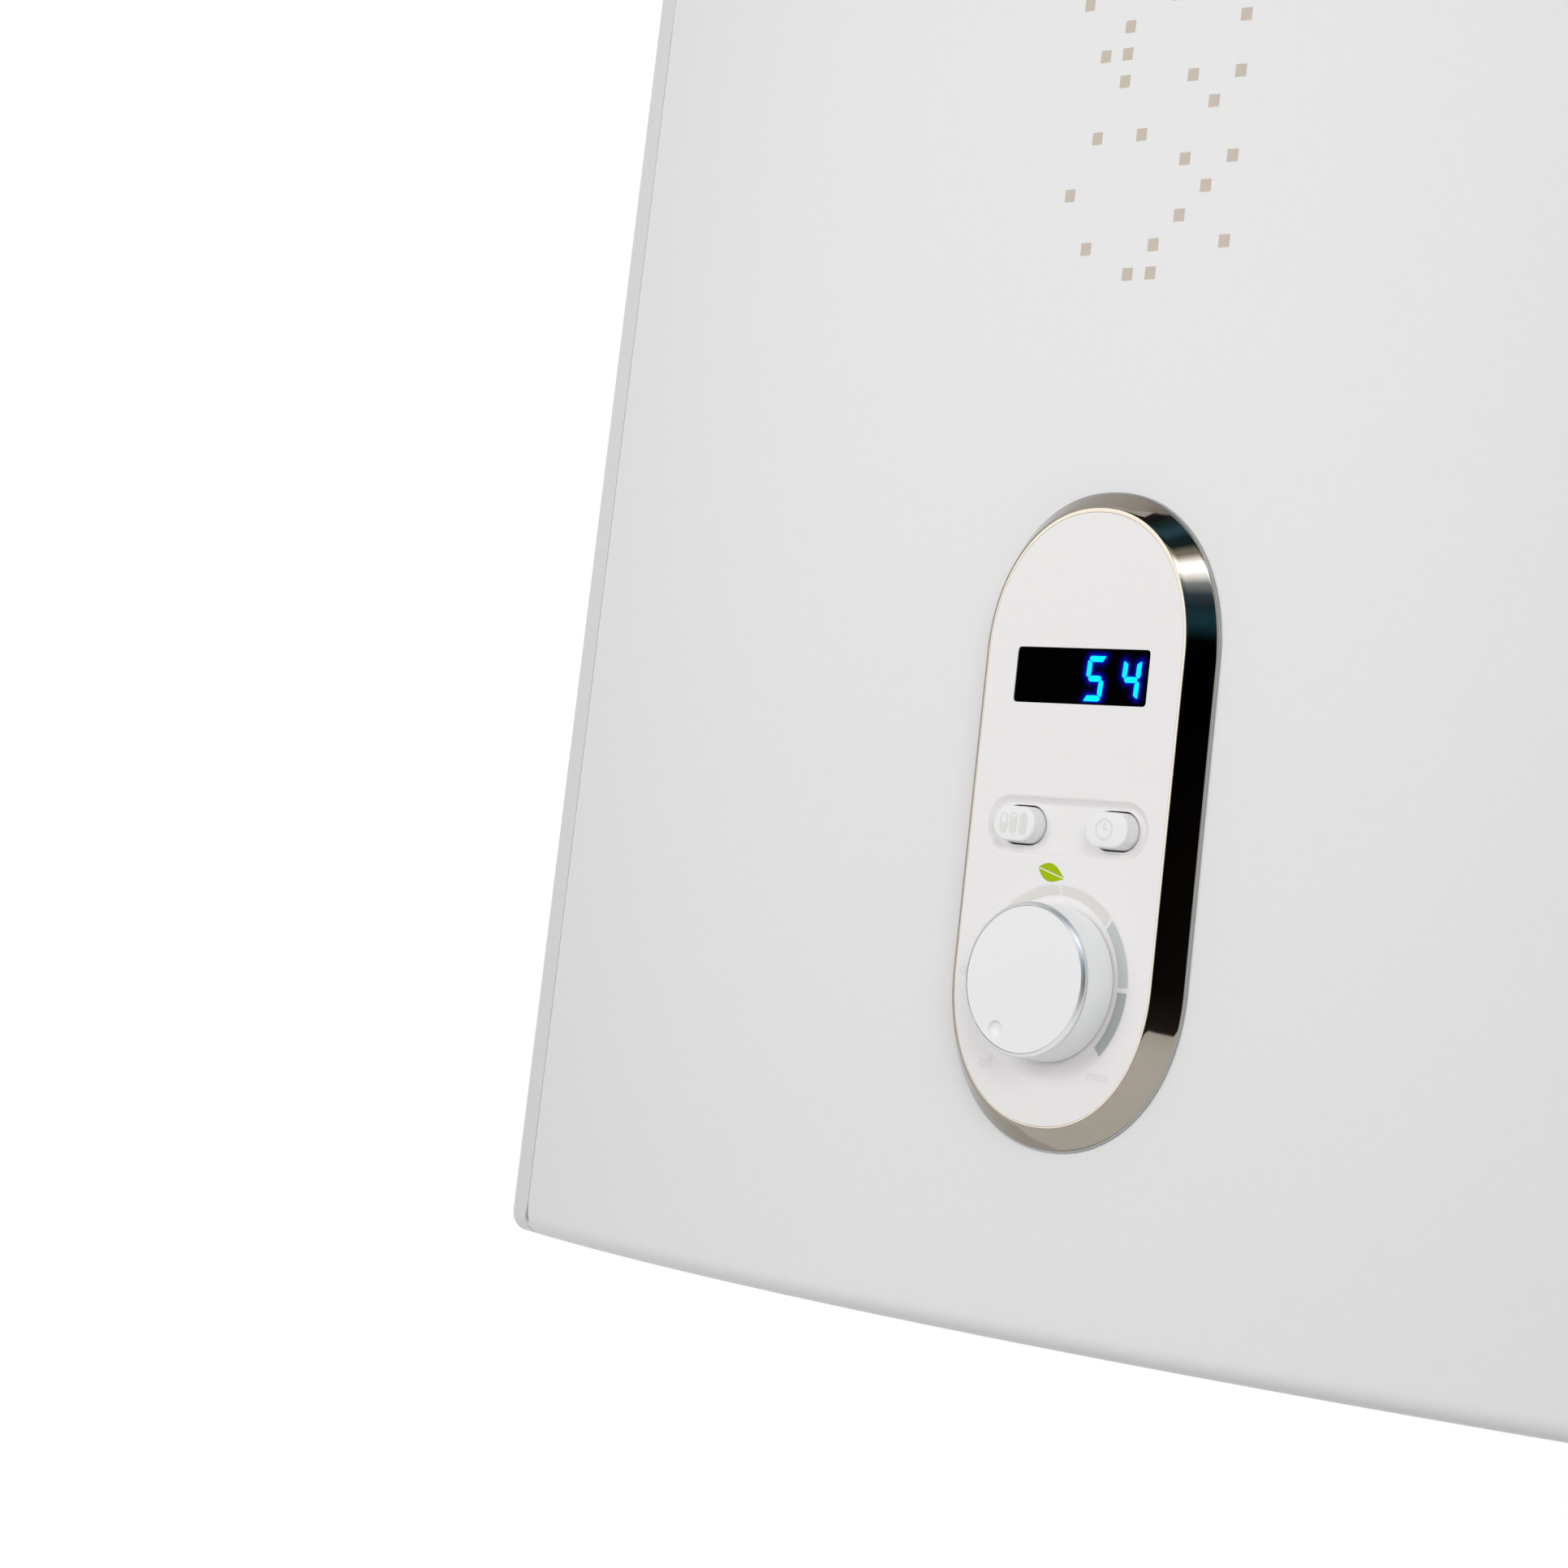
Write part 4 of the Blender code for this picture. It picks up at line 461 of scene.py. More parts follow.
# Lit segments: milky epoxy over blue diodes, an even glow without a gloss
LIT_SEGMENT = Finish(
    "lit_blue_segments", "00B4FF", "10C6FF", 0.4, specular=0.0, grain_mm=1.0, glow=1.0
)
# Talc-filled black polypropylene of the tub: dull, with a fine mould texture
TUB = Finish("black_polypropylene", "262626", "303031", 0.55, grain_mm=0.9, relief_mm=0.02)
# Moulded polyamide of gland, terminals and diffuser: mid grey and slightly uneven
POLYAMIDE = Finish(
    "grey_moulded_polyamide", "8B8D90", "808285", 0.48, grain_mm=0.6, relief_mm=0.015
)
# Extruded PVC of the inner lead: soft grey without a gloss
LEAD_PVC = Finish("extruded_grey_pvc", "7D7D80", "727275", 0.55, grain_mm=0.7, relief_mm=0.01)
# Turned brass of the probe: yellow, with the tool's rings round it
BRASS = Finish(
    "turned_brass",
    "C9AE72",
    "B79A5E",
    0.30,
    0.06,
    metallic=1.0,
    grain=Grain.BRUSHED,
    grain_mm=0.4,
    along=(30.0, 30.0, 1.0),
    relief_mm=0.003,
)
# Screen inks: fine pigment grain, flat and slightly satin
BEIGE_INK = Finish("beige_screen_ink", "C8BCAE", "C4B8AA", 0.45, grain_mm=0.6, relief_mm=0.003)
SCALE_INK = Finish(
    "grey_screen_ink_0", "E3E0DC", "E0DDD9", 0.35, 0.05, grain_mm=0.4, relief_mm=0.004
)
SCALE_INKS = (
    SCALE_INK,
    replace(SCALE_INK, name="grey_screen_ink_1", colour="C9CCCC", shade="C3C6C6"),
    replace(SCALE_INK, name="grey_screen_ink_2", colour="B3B7B8", shade="ADB1B2"),
)
KEY_INK = Finish("pale_grey_screen_ink", "E2E2DE", "DEDEDA", 0.42, grain_mm=0.4, relief_mm=0.003)
FAINT_INK = Finish(
    "faint_grey_screen_ink", "E2DFDD", "DFDCDA", 0.40, grain_mm=0.5, relief_mm=0.002
)
GREEN_INK = Finish(
    "leaf_green_screen_ink", "A4BF00", "9FBA00", 0.45, specular=0.1, grain_mm=0.5, relief_mm=0.003
)


# Meshes

# Points closer together than this are one
WELD = 0.0005 * MM
# How much the larger faces count where a rounded edge meets a flat
FLAT_WEIGHT = 80


def make_piece(
    name: str,
    work: bmesh.types.BMesh,
    finishes: Sequence[Finish],
    body: Body = Body.HEATER,
    space: Matrix | None = None,
    sharp: float = 35.0,
    solid: bool = True,
    flats: bool = False,
    stands_for: tuple[str, str] | None = None,
) -> bpy.types.Object:
    """Turn a finished bmesh into a piece that rides on a body.

    Args:
        name: the piece's name.
        work: its mesh, which is freed here.
        finishes: one finish for each material number in the mesh.
        body: what the piece moves with.
        space: from the mesh's own frame to the row frame.
        sharp: edges above this angle stay sharp, in degrees.
        solid: the normals are turned outward; a thin sheet keeps the side it was made with.
        flats: flats stay flat to the eye beside their rounded edges.
        stands_for: the CAD node that the piece hides and stands in for, and the name of its
            finish's slot, which is not used.

    Returns:
        The object, in place.
    """
    bmesh.ops.remove_doubles(work, verts=work.verts, dist=WELD)
    if solid:
        bmesh.ops.recalc_face_normals(work, faces=work.faces)
    mesh = bpy.data.meshes.new(name)
    work.to_mesh(mesh)
    work.free()
    if space:
        mesh.transform(space)
    for finish in finishes:
        mesh.materials.append(finish.material())
    mesh.shade_smooth()
    mesh.set_sharp_from_angle(angle=math.radians(sharp))
    piece = bpy.data.objects.new(name, mesh)
    bpy.context.scene.collection.objects.link(piece)
    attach(piece, body.value)
    if stands_for:
        node, slot = stands_for
        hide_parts(node)
    if flats:
        modifier = piece.modifiers.new("flat faces", "WEIGHTED_NORMAL")
        modifier.keep_sharp = True
        modifier.weight = FLAT_WEIGHT
    LOG.info("made %s with %d faces on %s", name, len(mesh.polygons), body.value)
    return piece


def make_print(
    name: str,
    work: bmesh.types.BMesh,
    inks: Sequence[Finish],
    body: Body = Body.HEATER,
    space: Matrix | None = PANEL,
) -> bpy.types.Object:
    """Turn a flat bmesh into a print that looks towards the front.

    Args:
        name: the print's name.
        work: its mesh, which is freed here.
        inks: one finish for each material number in the mesh.
        body: what the print moves with.
        space: from the mesh's own frame to the row frame.

    Returns:
        The object, in place.
    """
    piece = make_piece(name, work, inks, body, space)
    turned = bmesh.new()
    turned.from_mesh(piece.data)
    back = [face for face in turned.faces if face.normal.y > 0]
    bmesh.ops.reverse_faces(turned, faces=back)
    turned.to_mesh(piece.data)
    turned.free()
    return piece


def add_loft(
    work: bmesh.types.BMesh,
    rings: Sequence[Sequence[Vector]],
    closed: bool = True,
    looped: bool = False,
    caps: bool = False,
    materials: Sequence[int] | None = None,
) -> None:
    """Add quads between neighbouring rings of as many points.

    Args:
        work: the mesh that gets them.
        rings: the rings in order.
        closed: each ring joins up with itself.
        looped: the last ring joins the first.
        caps: the first and the last ring are filled.
        materials: a material number for each gap between rings.
    """
    grid = [[work.verts.new(point) for point in ring] for ring in rings]
    across = len(rings[0]) if closed else len(rings[0]) - 1
    for row in range(len(rings) if looped else len(rings) - 1):
        near, far = grid[row], grid[(row + 1) % len(grid)]
        for column in range(across):
            after = (column + 1) % len(near)
            face = work.faces.new((near[column], near[after], far[after], far[column]))
            if materials:
                face.material_index = materials[row]
    if caps:
        work.faces.new(grid[0])
        work.faces.new(grid[-1])


def add_walls(
    work: bmesh.types.BMesh,
    outline: Callable[[float], Outline],
    profile: Sequence[Point],
    caps: bool = False,
) -> None:
    """Add the wall that an outline draws while it grows and rises.

    Args:
        work: the mesh that gets the faces.
        outline: gives the outline for a growth.
        profile: the wall's (growth, height) points.
        caps: both ends are filled.
    """
    add_loft(work, [lift(outline(grow), height) for grow, height in profile], caps=caps)


def add_face(work: bmesh.types.BMesh, outline: Outline, height: float) -> None:
    """Add one flat face."""
    work.faces.new([work.verts.new(point) for point in lift(outline, height)])


def settle(curve: bpy.types.Curve) -> bpy.types.Mesh:
    """Turn a filled curve or a text into a mesh.

    Args:
        curve: the curve, which is removed here.

    Returns:
        The mesh.
    """
    holder = bpy.data.objects.new(curve.name, curve)
    bpy.context.scene.collection.objects.link(holder)
    bpy.context.view_layer.update()
    settled = holder.evaluated_get(bpy.context.evaluated_depsgraph_get())
    mesh = bpy.data.meshes.new_from_object(settled)
    bpy.data.objects.remove(holder)
    bpy.data.curves.remove(curve)
    return mesh


def add_fill(work: bmesh.types.BMesh, outlines: Sequence[Outline], height: float) -> None:
    """Fill a flat outline, less its holes, with triangles.

    Args:
        work: the mesh that gets the faces.
        outlines: the edge first, then the holes.
        height: how high the flat lies.
    """
    curve = bpy.data.curves.new("fill", "CURVE")
    curve.dimensions = "2D"
    curve.fill_mode = "BOTH"
    for outline in outlines:
        spline = curve.splines.new("POLY")
        spline.points.add(len(outline) - 1)
        for point, (x, y) in zip(spline.points, outline):
            point.co = (x, y, 0.0, 1.0)
        spline.use_cyclic_u = True
    mesh = settle(curve)
    verts = [work.verts.new((v.co.x, v.co.y, height)) for v in mesh.vertices]
    for polygon in mesh.polygons:
        work.faces.new([verts[i] for i in polygon.vertices])
    bpy.data.meshes.remove(mesh)


def lift(outline: Outline, height: float) -> Ring:
    """Stand a flat outline at a height."""
    return [Vector((x, y, height)) for x, y in outline]


def circle(radius: float, centre: Point = (0.0, 0.0), steps: int = 96) -> Outline:
    """Points round a circle."""
    turns = (math.tau * step / steps for step in range(steps))
    return [(centre[0] + radius * math.cos(a), centre[1] + radius * math.sin(a)) for a in turns]


def stadium(half_length: float, radius: float, centre: Point, steps: int = 24) -> Outline:
    """A level stadium, two half circles joined by straight sides.

    Args:
        half_length: half its length over all.
        radius: that of its ends.
        centre: its middle.
        steps: how many edges each end has.

    Returns:
        Its outline.
    """
    points = []
    for side in (1, -1):
        for step in range(steps + 1):
            angle = math.pi * (step / steps - 0.5)
            x = side * (half_length - radius + radius * math.cos(angle))
            points.append((centre[0] + x, centre[1] + side * radius * math.sin(angle)))
    return points


def rounded_rectangle(
    half_width: float, half_height: float, radius: float, centre: Point, steps: int = 6
) -> Outline:
    """An upright rectangle with round corners.

    Args:
        half_width: half its width.
        half_height: half its height.
        radius: that of its corners.
        centre: its middle.
        steps: how many edges each corner has.

    Returns:
        Its outline.
    """
    points = []
    for number, (sx, sy) in enumerate(((1, 1), (-1, 1), (-1, -1), (1, -1))):
        for step in range(steps + 1):
            angle = math.pi / 2 * (number + step / steps)
            x = sx * (half_width - radius) + radius * math.cos(angle)
            y = sy * (half_height - radius) + radius * math.sin(angle)
            points.append((centre[0] + x, centre[1] + y))
    return points


def pill(
    half_width: float, cap: float, half_height: float, steps: int = 96, power: float = 2.13
) -> Outline:
    """An upright pill whose caps run on smoothly from its straight sides.

    Args:
        half_width: half its width.
        cap: the height of each cap.
        half_height: half its height over all.
        steps: how many edges each cap has.
        power: 2 gives a round cap, and more gives a squarer one.

    Returns:
        Its outline.
    """
    upper = []
    for step in range(steps + 1):
        angle = math.pi * step / steps
        across, up = math.cos(angle), math.sin(angle)
        x = half_width * math.copysign(abs(across) ** (2 / power), across)
        upper.append((x, half_height - cap + cap * abs(up) ** (2 / power)))
    return upper + [(-x, -z) for x, z in upper]


def turned_rings(profile: Sequence[Point]) -> list[Ring]:
    """Rings of a turned shape from its (radius, height) profile."""
    return [lift(circle(radius), height) for radius, height in profile]


def fillet(start: Point, corner: Point, end: Point, steps: int = 5) -> list[Point]:
    """Points of a soft corner between two points of a profile.

    Args:
        start: where it begins.
        corner: the corner that it rounds off.
        end: where it ends.
        steps: how many edges it has.

    Returns:
        Its points, with both ends.
    """
    points = []
    for t in (step / steps for step in range(steps + 1)):
        near, bent, far = (1 - t) ** 2, 2 * t * (1 - t), t * t
        points.append(
            tuple(near * a + bent * b + far * c for a, b, c in zip(start, corner, end))
        )
    return points


def dress(finish: Finish, *nodes: str) -> None:
    """Give CAD nodes that keep their shape the finish of their real material.

    Args:
        finish: what they are made of.
        nodes: their names.
    """
    for name in nodes:
        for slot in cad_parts[name].material_slots:
            slot.material = finish.material()
        LOG.info("dressed %s as %s", name, finish.name)


# The casing and what closes it


@dataclass
class Casing:
    """The enamelled front between its seams, both side sheets, and the plates that close them."""

    width: float = 0.492
    height: float = 0.860
    depth: float = 0.285
    bottom: float = -0.700
    standoff: float = 0.010
    sheet: float = 0.001
    bow_radius: float = 0.640
    corner_radius: float = 0.0060
    corner_least: float = 0.0010
    corner_steps: int = 12
    seam_x: float = 0.231
    seam_gap: float = 0.0006
    strip_drop: float = 0.0010
    strip_shares: tuple[float, ...] = (0.35, 0.7)
    side_shares: tuple[float, ...] = (0.0, 0.03, 0.5, 0.96)
    notch: float = 0.0016
    notch_low: float = 0.0035
    notch_high: float = 0.0085
    notch_share: float = 0.8
    flange_inset: float = 0.00145
    flange_step: float = 0.0012
    flange_reach: float = 0.0100
    flange_weld: float = 0.0070
    flange_end: float = 0.008
    roll_radius: float = 0.0056
    roll_steps: int = 10
    roll_end: float = 1.6
    hem: float = 0.0054
    lip: float = 0.0154
    lip_rise: float = 0.006
    hole_half_width: float = 0.0329
    hole_half_height: float = 0.0795
    hole_cap: float = 0.0391
    hole_shares: tuple[float, ...] = (0.35, 0.7, 1.0)
    block_half_width: float = 0.060
    block_half_height: float = 0.110
    column: float = 0.0075
    row: float = 0.0110
    upper_shares: tuple[float, ...] = (0.2, 0.4, 0.6, 0.8)
    sharp: float = 60.0

    def bow(self, x: float) -> float:
        """How far the front lies behind its crown."""
        return self.bow_radius - math.sqrt(self.bow_radius**2 - x * x)

    def front(self, x: float) -> float:
        """The front's y at a distance from the middle."""
        return -self.depth + self.bow(x)

    def on_bow(self, angle: float, inset: float) -> Vector:
        """A plan point of the bowed front, moved in, at an angle from the crown."""
        reach, middle = self.bow_radius - inset, self.bow_radius - self.depth
        return Vector((reach * math.sin(angle), middle - reach * math.cos(angle)))

    def past_seam(self, inset: float, past: float) -> Vector:
        """A plan point some way past the left seam towards the side."""
        seam = math.asin(self.seam_x / self.bow_radius)
        return self.on_bow(-seam - past / self.bow_radius, inset)

    def notch_at(self, rise: float) -> float:
        """How far a sheet's edge draws back at the seam's foot, where the bend was relieved."""
        share = (self.notch_high - rise) / (self.notch_high - self.notch_low)
        return self.notch * share if 0.0 <= share <= 1.0 else 0.0

    def side_line(self, inset: float, rise: float) -> list[Vector]:
        """The left side's plan line: back edge, corner, and the strip that meets the seam.

        Args:
            inset: how far the line is moved in.
            rise: its height over the casing's foot.

        Returns:
            Its points from the back edge to the seam.
        """
        half = self.width / 2 - inset
        radius = max(self.corner_radius - inset, self.corner_least)
        reach = self.bow_radius - inset - radius
        lean = math.asin((half - radius) / reach)
        drop = self.strip_drop * (1 - min(1.0, inset / self.roll_radius))
        middle = self.bow_radius - self.depth
        centre = Vector((radius - half, middle - reach * math.cos(lean) + drop))
        seam = self.past_seam(inset, self.seam_gap)
        along = seam - centre
        last = math.tau + math.atan2(along.y, along.x) - math.acos(radius / along.length)
        rear = -self.standoff
        line = [Vector((-half, rear + (centre.y - rear) * share)) for share in self.side_shares]
        for step in range(self.corner_steps + 1):
            angle = math.pi + (last - math.pi) * step / self.corner_steps
            line.append(centre + radius * Vector((math.cos(angle), math.sin(angle))))
        strip = seam - line[-1]
        back = min(self.notch_at(rise), strip.length * self.notch_share)
        line += [line[-1] + strip * share for share in self.strip_shares]
        return line + [seam - strip.normalized() * back]

    def profile(self) -> tuple[list[Point], list[Point]]:
        """The upright section's rolled ends.

        Returns:
            The lower and the upper part, each from the bottom up, as (inset, rise).
        """
        riser, end = self.roll_radius + self.hem, self.roll_radius + self.lip
        roll = []
        for step in range(self.roll_steps + 1):
            angle = math.pi / 2 * step / self.roll_steps
            roll.append((1 - math.sin(angle), 1 - math.cos(angle)))
        roll.append((0.0, self.roll_end))
        roll = [(self.roll_radius * inset, self.roll_radius * rise) for inset, rise in roll]
        low = [(end, self.lip_rise), (riser, self.lip_rise), (riser, 0.0)]
        high = [(inset, self.height - rise) for inset, rise in reversed(roll)]
        return low + roll, high + [(end, self.height)]

    def fold(self, sheet: bpy.types.Object) -> None:
        """Give a sheet its thickness and crisp cut edges.

        Args:
            sheet: the sheet's outer face.
        """
        work = bmesh.new()
        work.from_mesh(sheet.data)
        for edge in work.edges:
            if edge.is_boundary:
                edge.smooth = False
        work.to_mesh(sheet.data)
        work.free()
        modifier = sheet.modifiers.new("sheet", "SOLIDIFY")
        modifier.thickness = self.sheet
        modifier.offset = -1.0

    def make_sides(self) -> None:
        """Make both side sheets, each with its stepped flange behind the front sheet."""
        low, high = self.profile()
        rows = low + [(0.0, self.height / 2)] + high
        flange = [
            self.past_seam(inset, past)
            for inset, past in (
                (self.sheet / 2, self.flange_weld),
                (self.sheet / 2, self.flange_step),
                (self.flange_inset, self.flange_step),
                (self.flange_inset, -self.flange_reach),
            )
        ]
        sheet = [(self.side_line(inset, rise), rise) for inset, rise in rows]
        step = [(flange, self.flange_end), (flange, self.height - self.flange_end)]
        for name, side in (("left", -1), ("right", 1)):
            work = bmesh.new()
            for part in (sheet, step):
                rings = [
                    [Vector((-side * p.x, p.y, self.bottom + rise)) for p in line]
                    for line, rise in part
                ]
                turned = rings if side < 0 else [ring[::-1] for ring in rings]
                add_loft(work, turned, closed=False)
            # The side sheets get the greyer enamel: painted shade on the strip beside the seam
            panel = make_piece(
                f"casing_{name}_sheet",
                work,
                [SIDE_ENAMEL_PAINTED_SHADE],
                sharp=self.sharp,
                solid=False,
                stands_for=(f"{name}_side_panel", "white_enamel"),
            )
            self.fold(panel)

    def front_rows(self) -> list[Point]:
        """The front sheet's upright section, with even rows beside the panel.

        Returns:
            Its (inset, rise) points from the bottom up.
        """
        low, high = self.profile()
        base = PANEL_Z - self.block_half_height - self.bottom
        tall = 2 * self.block_half_height
        above = base + tall
        count = round(tall / self.row)
        rises = [(low[-1][1] + base) / 2] + [base + tall * i / count for i in range(count + 1)]
        rises += [above + (high[0][1] - above) * share for share in self.upper_shares]
        return low + [(0.0, rise) for rise in rises] + high

    def front_columns(self) -> list[float]:
        """The front sheet's columns.

        Returns:
            Their distances from the middle, from seam to seam.
        """
        margin = self.seam_x - self.block_half_width
        outer, inner = round(margin / self.column), round(self.block_half_width / self.column)
        left = [-self.seam_x + margin * i / outer for i in range(outer)]
        left += [-self.block_half_width * (1 - i / inner) for i in range(inner)]
        return left + [0.0] + [-x for x in reversed(left)]

    def make_front(self) -> None:
        """Make the front sheet, with a pill-shaped hole behind the control panel."""
        profile, marks = self.front_rows(), self.front_columns()
        work = bmesh.new()
        grid = []
        for inset, rise in profile:
            line = [self.on_bow(math.asin(x / self.bow_radius), inset) for x in marks]
            line[0] = self.past_seam(inset, -self.notch_at(rise))
            line[-1] = Vector((-line[0].x, line[0].y))
            grid.append([work.verts.new((p.x, p.y, self.bottom + rise)) for p in line])
        columns = [i for i, x in enumerate(marks) if abs(x) <= self.block_half_width + TINY]
        rows = [
            j
            for j, (inset, rise) in enumerate(profile)
            if not inset and abs(self.bottom + rise - PANEL_Z) <= self.block_half_height + TINY
        ]
        west, east, south, north = columns[0], columns[-1], rows[0], rows[-1]
        for j, (low, high) in enumerate(zip(grid, grid[1:])):
            for i in range(len(marks) - 1):
                if not (west <= i < east and south <= j < north):
                    work.faces.new((low[i], low[i + 1], high[i + 1], high[i]))
        middle = (south + north) // 2
        rim = [grid[j][east] for j in range(middle, north)]
        rim += [grid[north][i] for i in range(east, west, -1)]
        rim += [grid[j][west] for j in range(north, south, -1)]
        rim += [grid[south][i] for i in range(west, east)]
        rim += [grid[j][east] for j in range(south, middle)]
        self.close_in(work, rim)
        casing = make_piece(
            "casing_front_sheet",
            work,
            [ENAMEL],
            sharp=self.sharp,
            stands_for=("front_casing", "white_enamel"),
        )
        if casing.data.polygons[0].normal.z > 0:
            casing.data.flip_normals()
        self.fold(casing)

    def close_in(self, work: bmesh.types.BMesh, rim: Sequence[bmesh.types.BMVert]) -> None:
        """Add the faces between the block's rim and the hole.

        Args:
            work: the front sheet's mesh.
            rim: the mesh points round the block, in order.
        """
        hole = self.spread(rim)
        before = rim
        for share in self.hole_shares:
            ring = []
            for vert, (x, z) in zip(rim, hole):
                at_x = vert.co.x + (x - vert.co.x) * share
                at_z = vert.co.z + (PANEL_Z + z - vert.co.z) * share
                ring.append(work.verts.new((at_x, self.front(at_x), at_z)))
            for i in range(len(rim)):
                k = (i + 1) % len(rim)
                work.faces.new((before[i], before[k], ring[k], ring[i]))
            before = ring

    def spread(self, rim: Sequence[bmesh.types.BMVert]) -> Outline:
        """Pick a point of the hole's outline for each point of the rim round it.

        Args:
            rim: the mesh points round the block, in order.

        Returns:
            As many points of the outline as the rim has, in the same directions.
        """
        outline = pill(self.hole_half_width, self.hole_cap, self.hole_half_height)
        turns = sorted((math.atan2(z, x) % math.tau, x, z) for x, z in outline)
        first, last = turns[0], turns[-1]
        turns = [(last[0] - math.tau, *last[1:]), *turns, (first[0] + math.tau, *first[1:])]
        stretch = self.hole_half_height / self.block_half_height
        stretch *= self.block_half_width / self.hole_half_width
        picked = []
        for vert in rim:
            turn = math.atan2((vert.co.z - PANEL_Z) * stretch, vert.co.x) % math.tau
            for (a, x0, z0), (b, x1, z1) in zip(turns, turns[1:]):
                if a <= turn <= b:
                    t = (turn - a) / max(b - a, TINY * MM)
                    picked.append((x0 + (x1 - x0) * t, z0 + (z1 - z0) * t))
                    break
        return picked

    def dress_plates(self) -> None:
        """Give the plates and their screws their finishes."""
        dress(ENAMEL, "top_cover")
        dress(GALVANISED, "back_panel", "upper_wall_bracket", "lower_wall_bracket")
        dress(COVER_ABS, "bottom_cover")
        dress(ZINC, *(f"bottom_cover_screw_{number}" for number in range(1, 5)))


@dataclass
class FrontPrint:
    """Small beige squares printed on the front above the panel, in a scatter of its own."""

    pitch: float = 0.0075
    side: float = 0.0034
    columns: int = 8
    first_row: float = 0.1418
    rows: int = 66
    chance_low: float = 0.27
    chance_high: float = 0.44
    film: float = 0.00003
    seed: int = 27

    def make(self, casing: Casing) -> None:
        """Lay the squares on the bowed front.

        Args:
            casing: the sheet that they are printed on.
        """
        picker = random.Random(self.seed)
        work = bmesh.new()
        half = self.side / 2
        for row in range(self.rows):
            chance = self.chance_low + (self.chance_high - self.chance_low) * row / self.rows
            for column in range(self.columns):
                if picker.random() > chance:
                    continue
                x = (column - (self.columns - 1) / 2) * self.pitch
                z = PANEL_Z + self.first_row + row * self.pitch
                corners = [
                    (x + a * half, z + b * half) for a, b in ((-1, -1), (1, -1), (1, 1), (-1, 1))
                ]
                verts = [work.verts.new((a, casing.front(a) - self.film, b)) for a, b in corners]
                work.faces.new(verts)
        make_print("front_printed_squares", work, [BEIGE_INK], space=None)


# The control panel, in its own frame


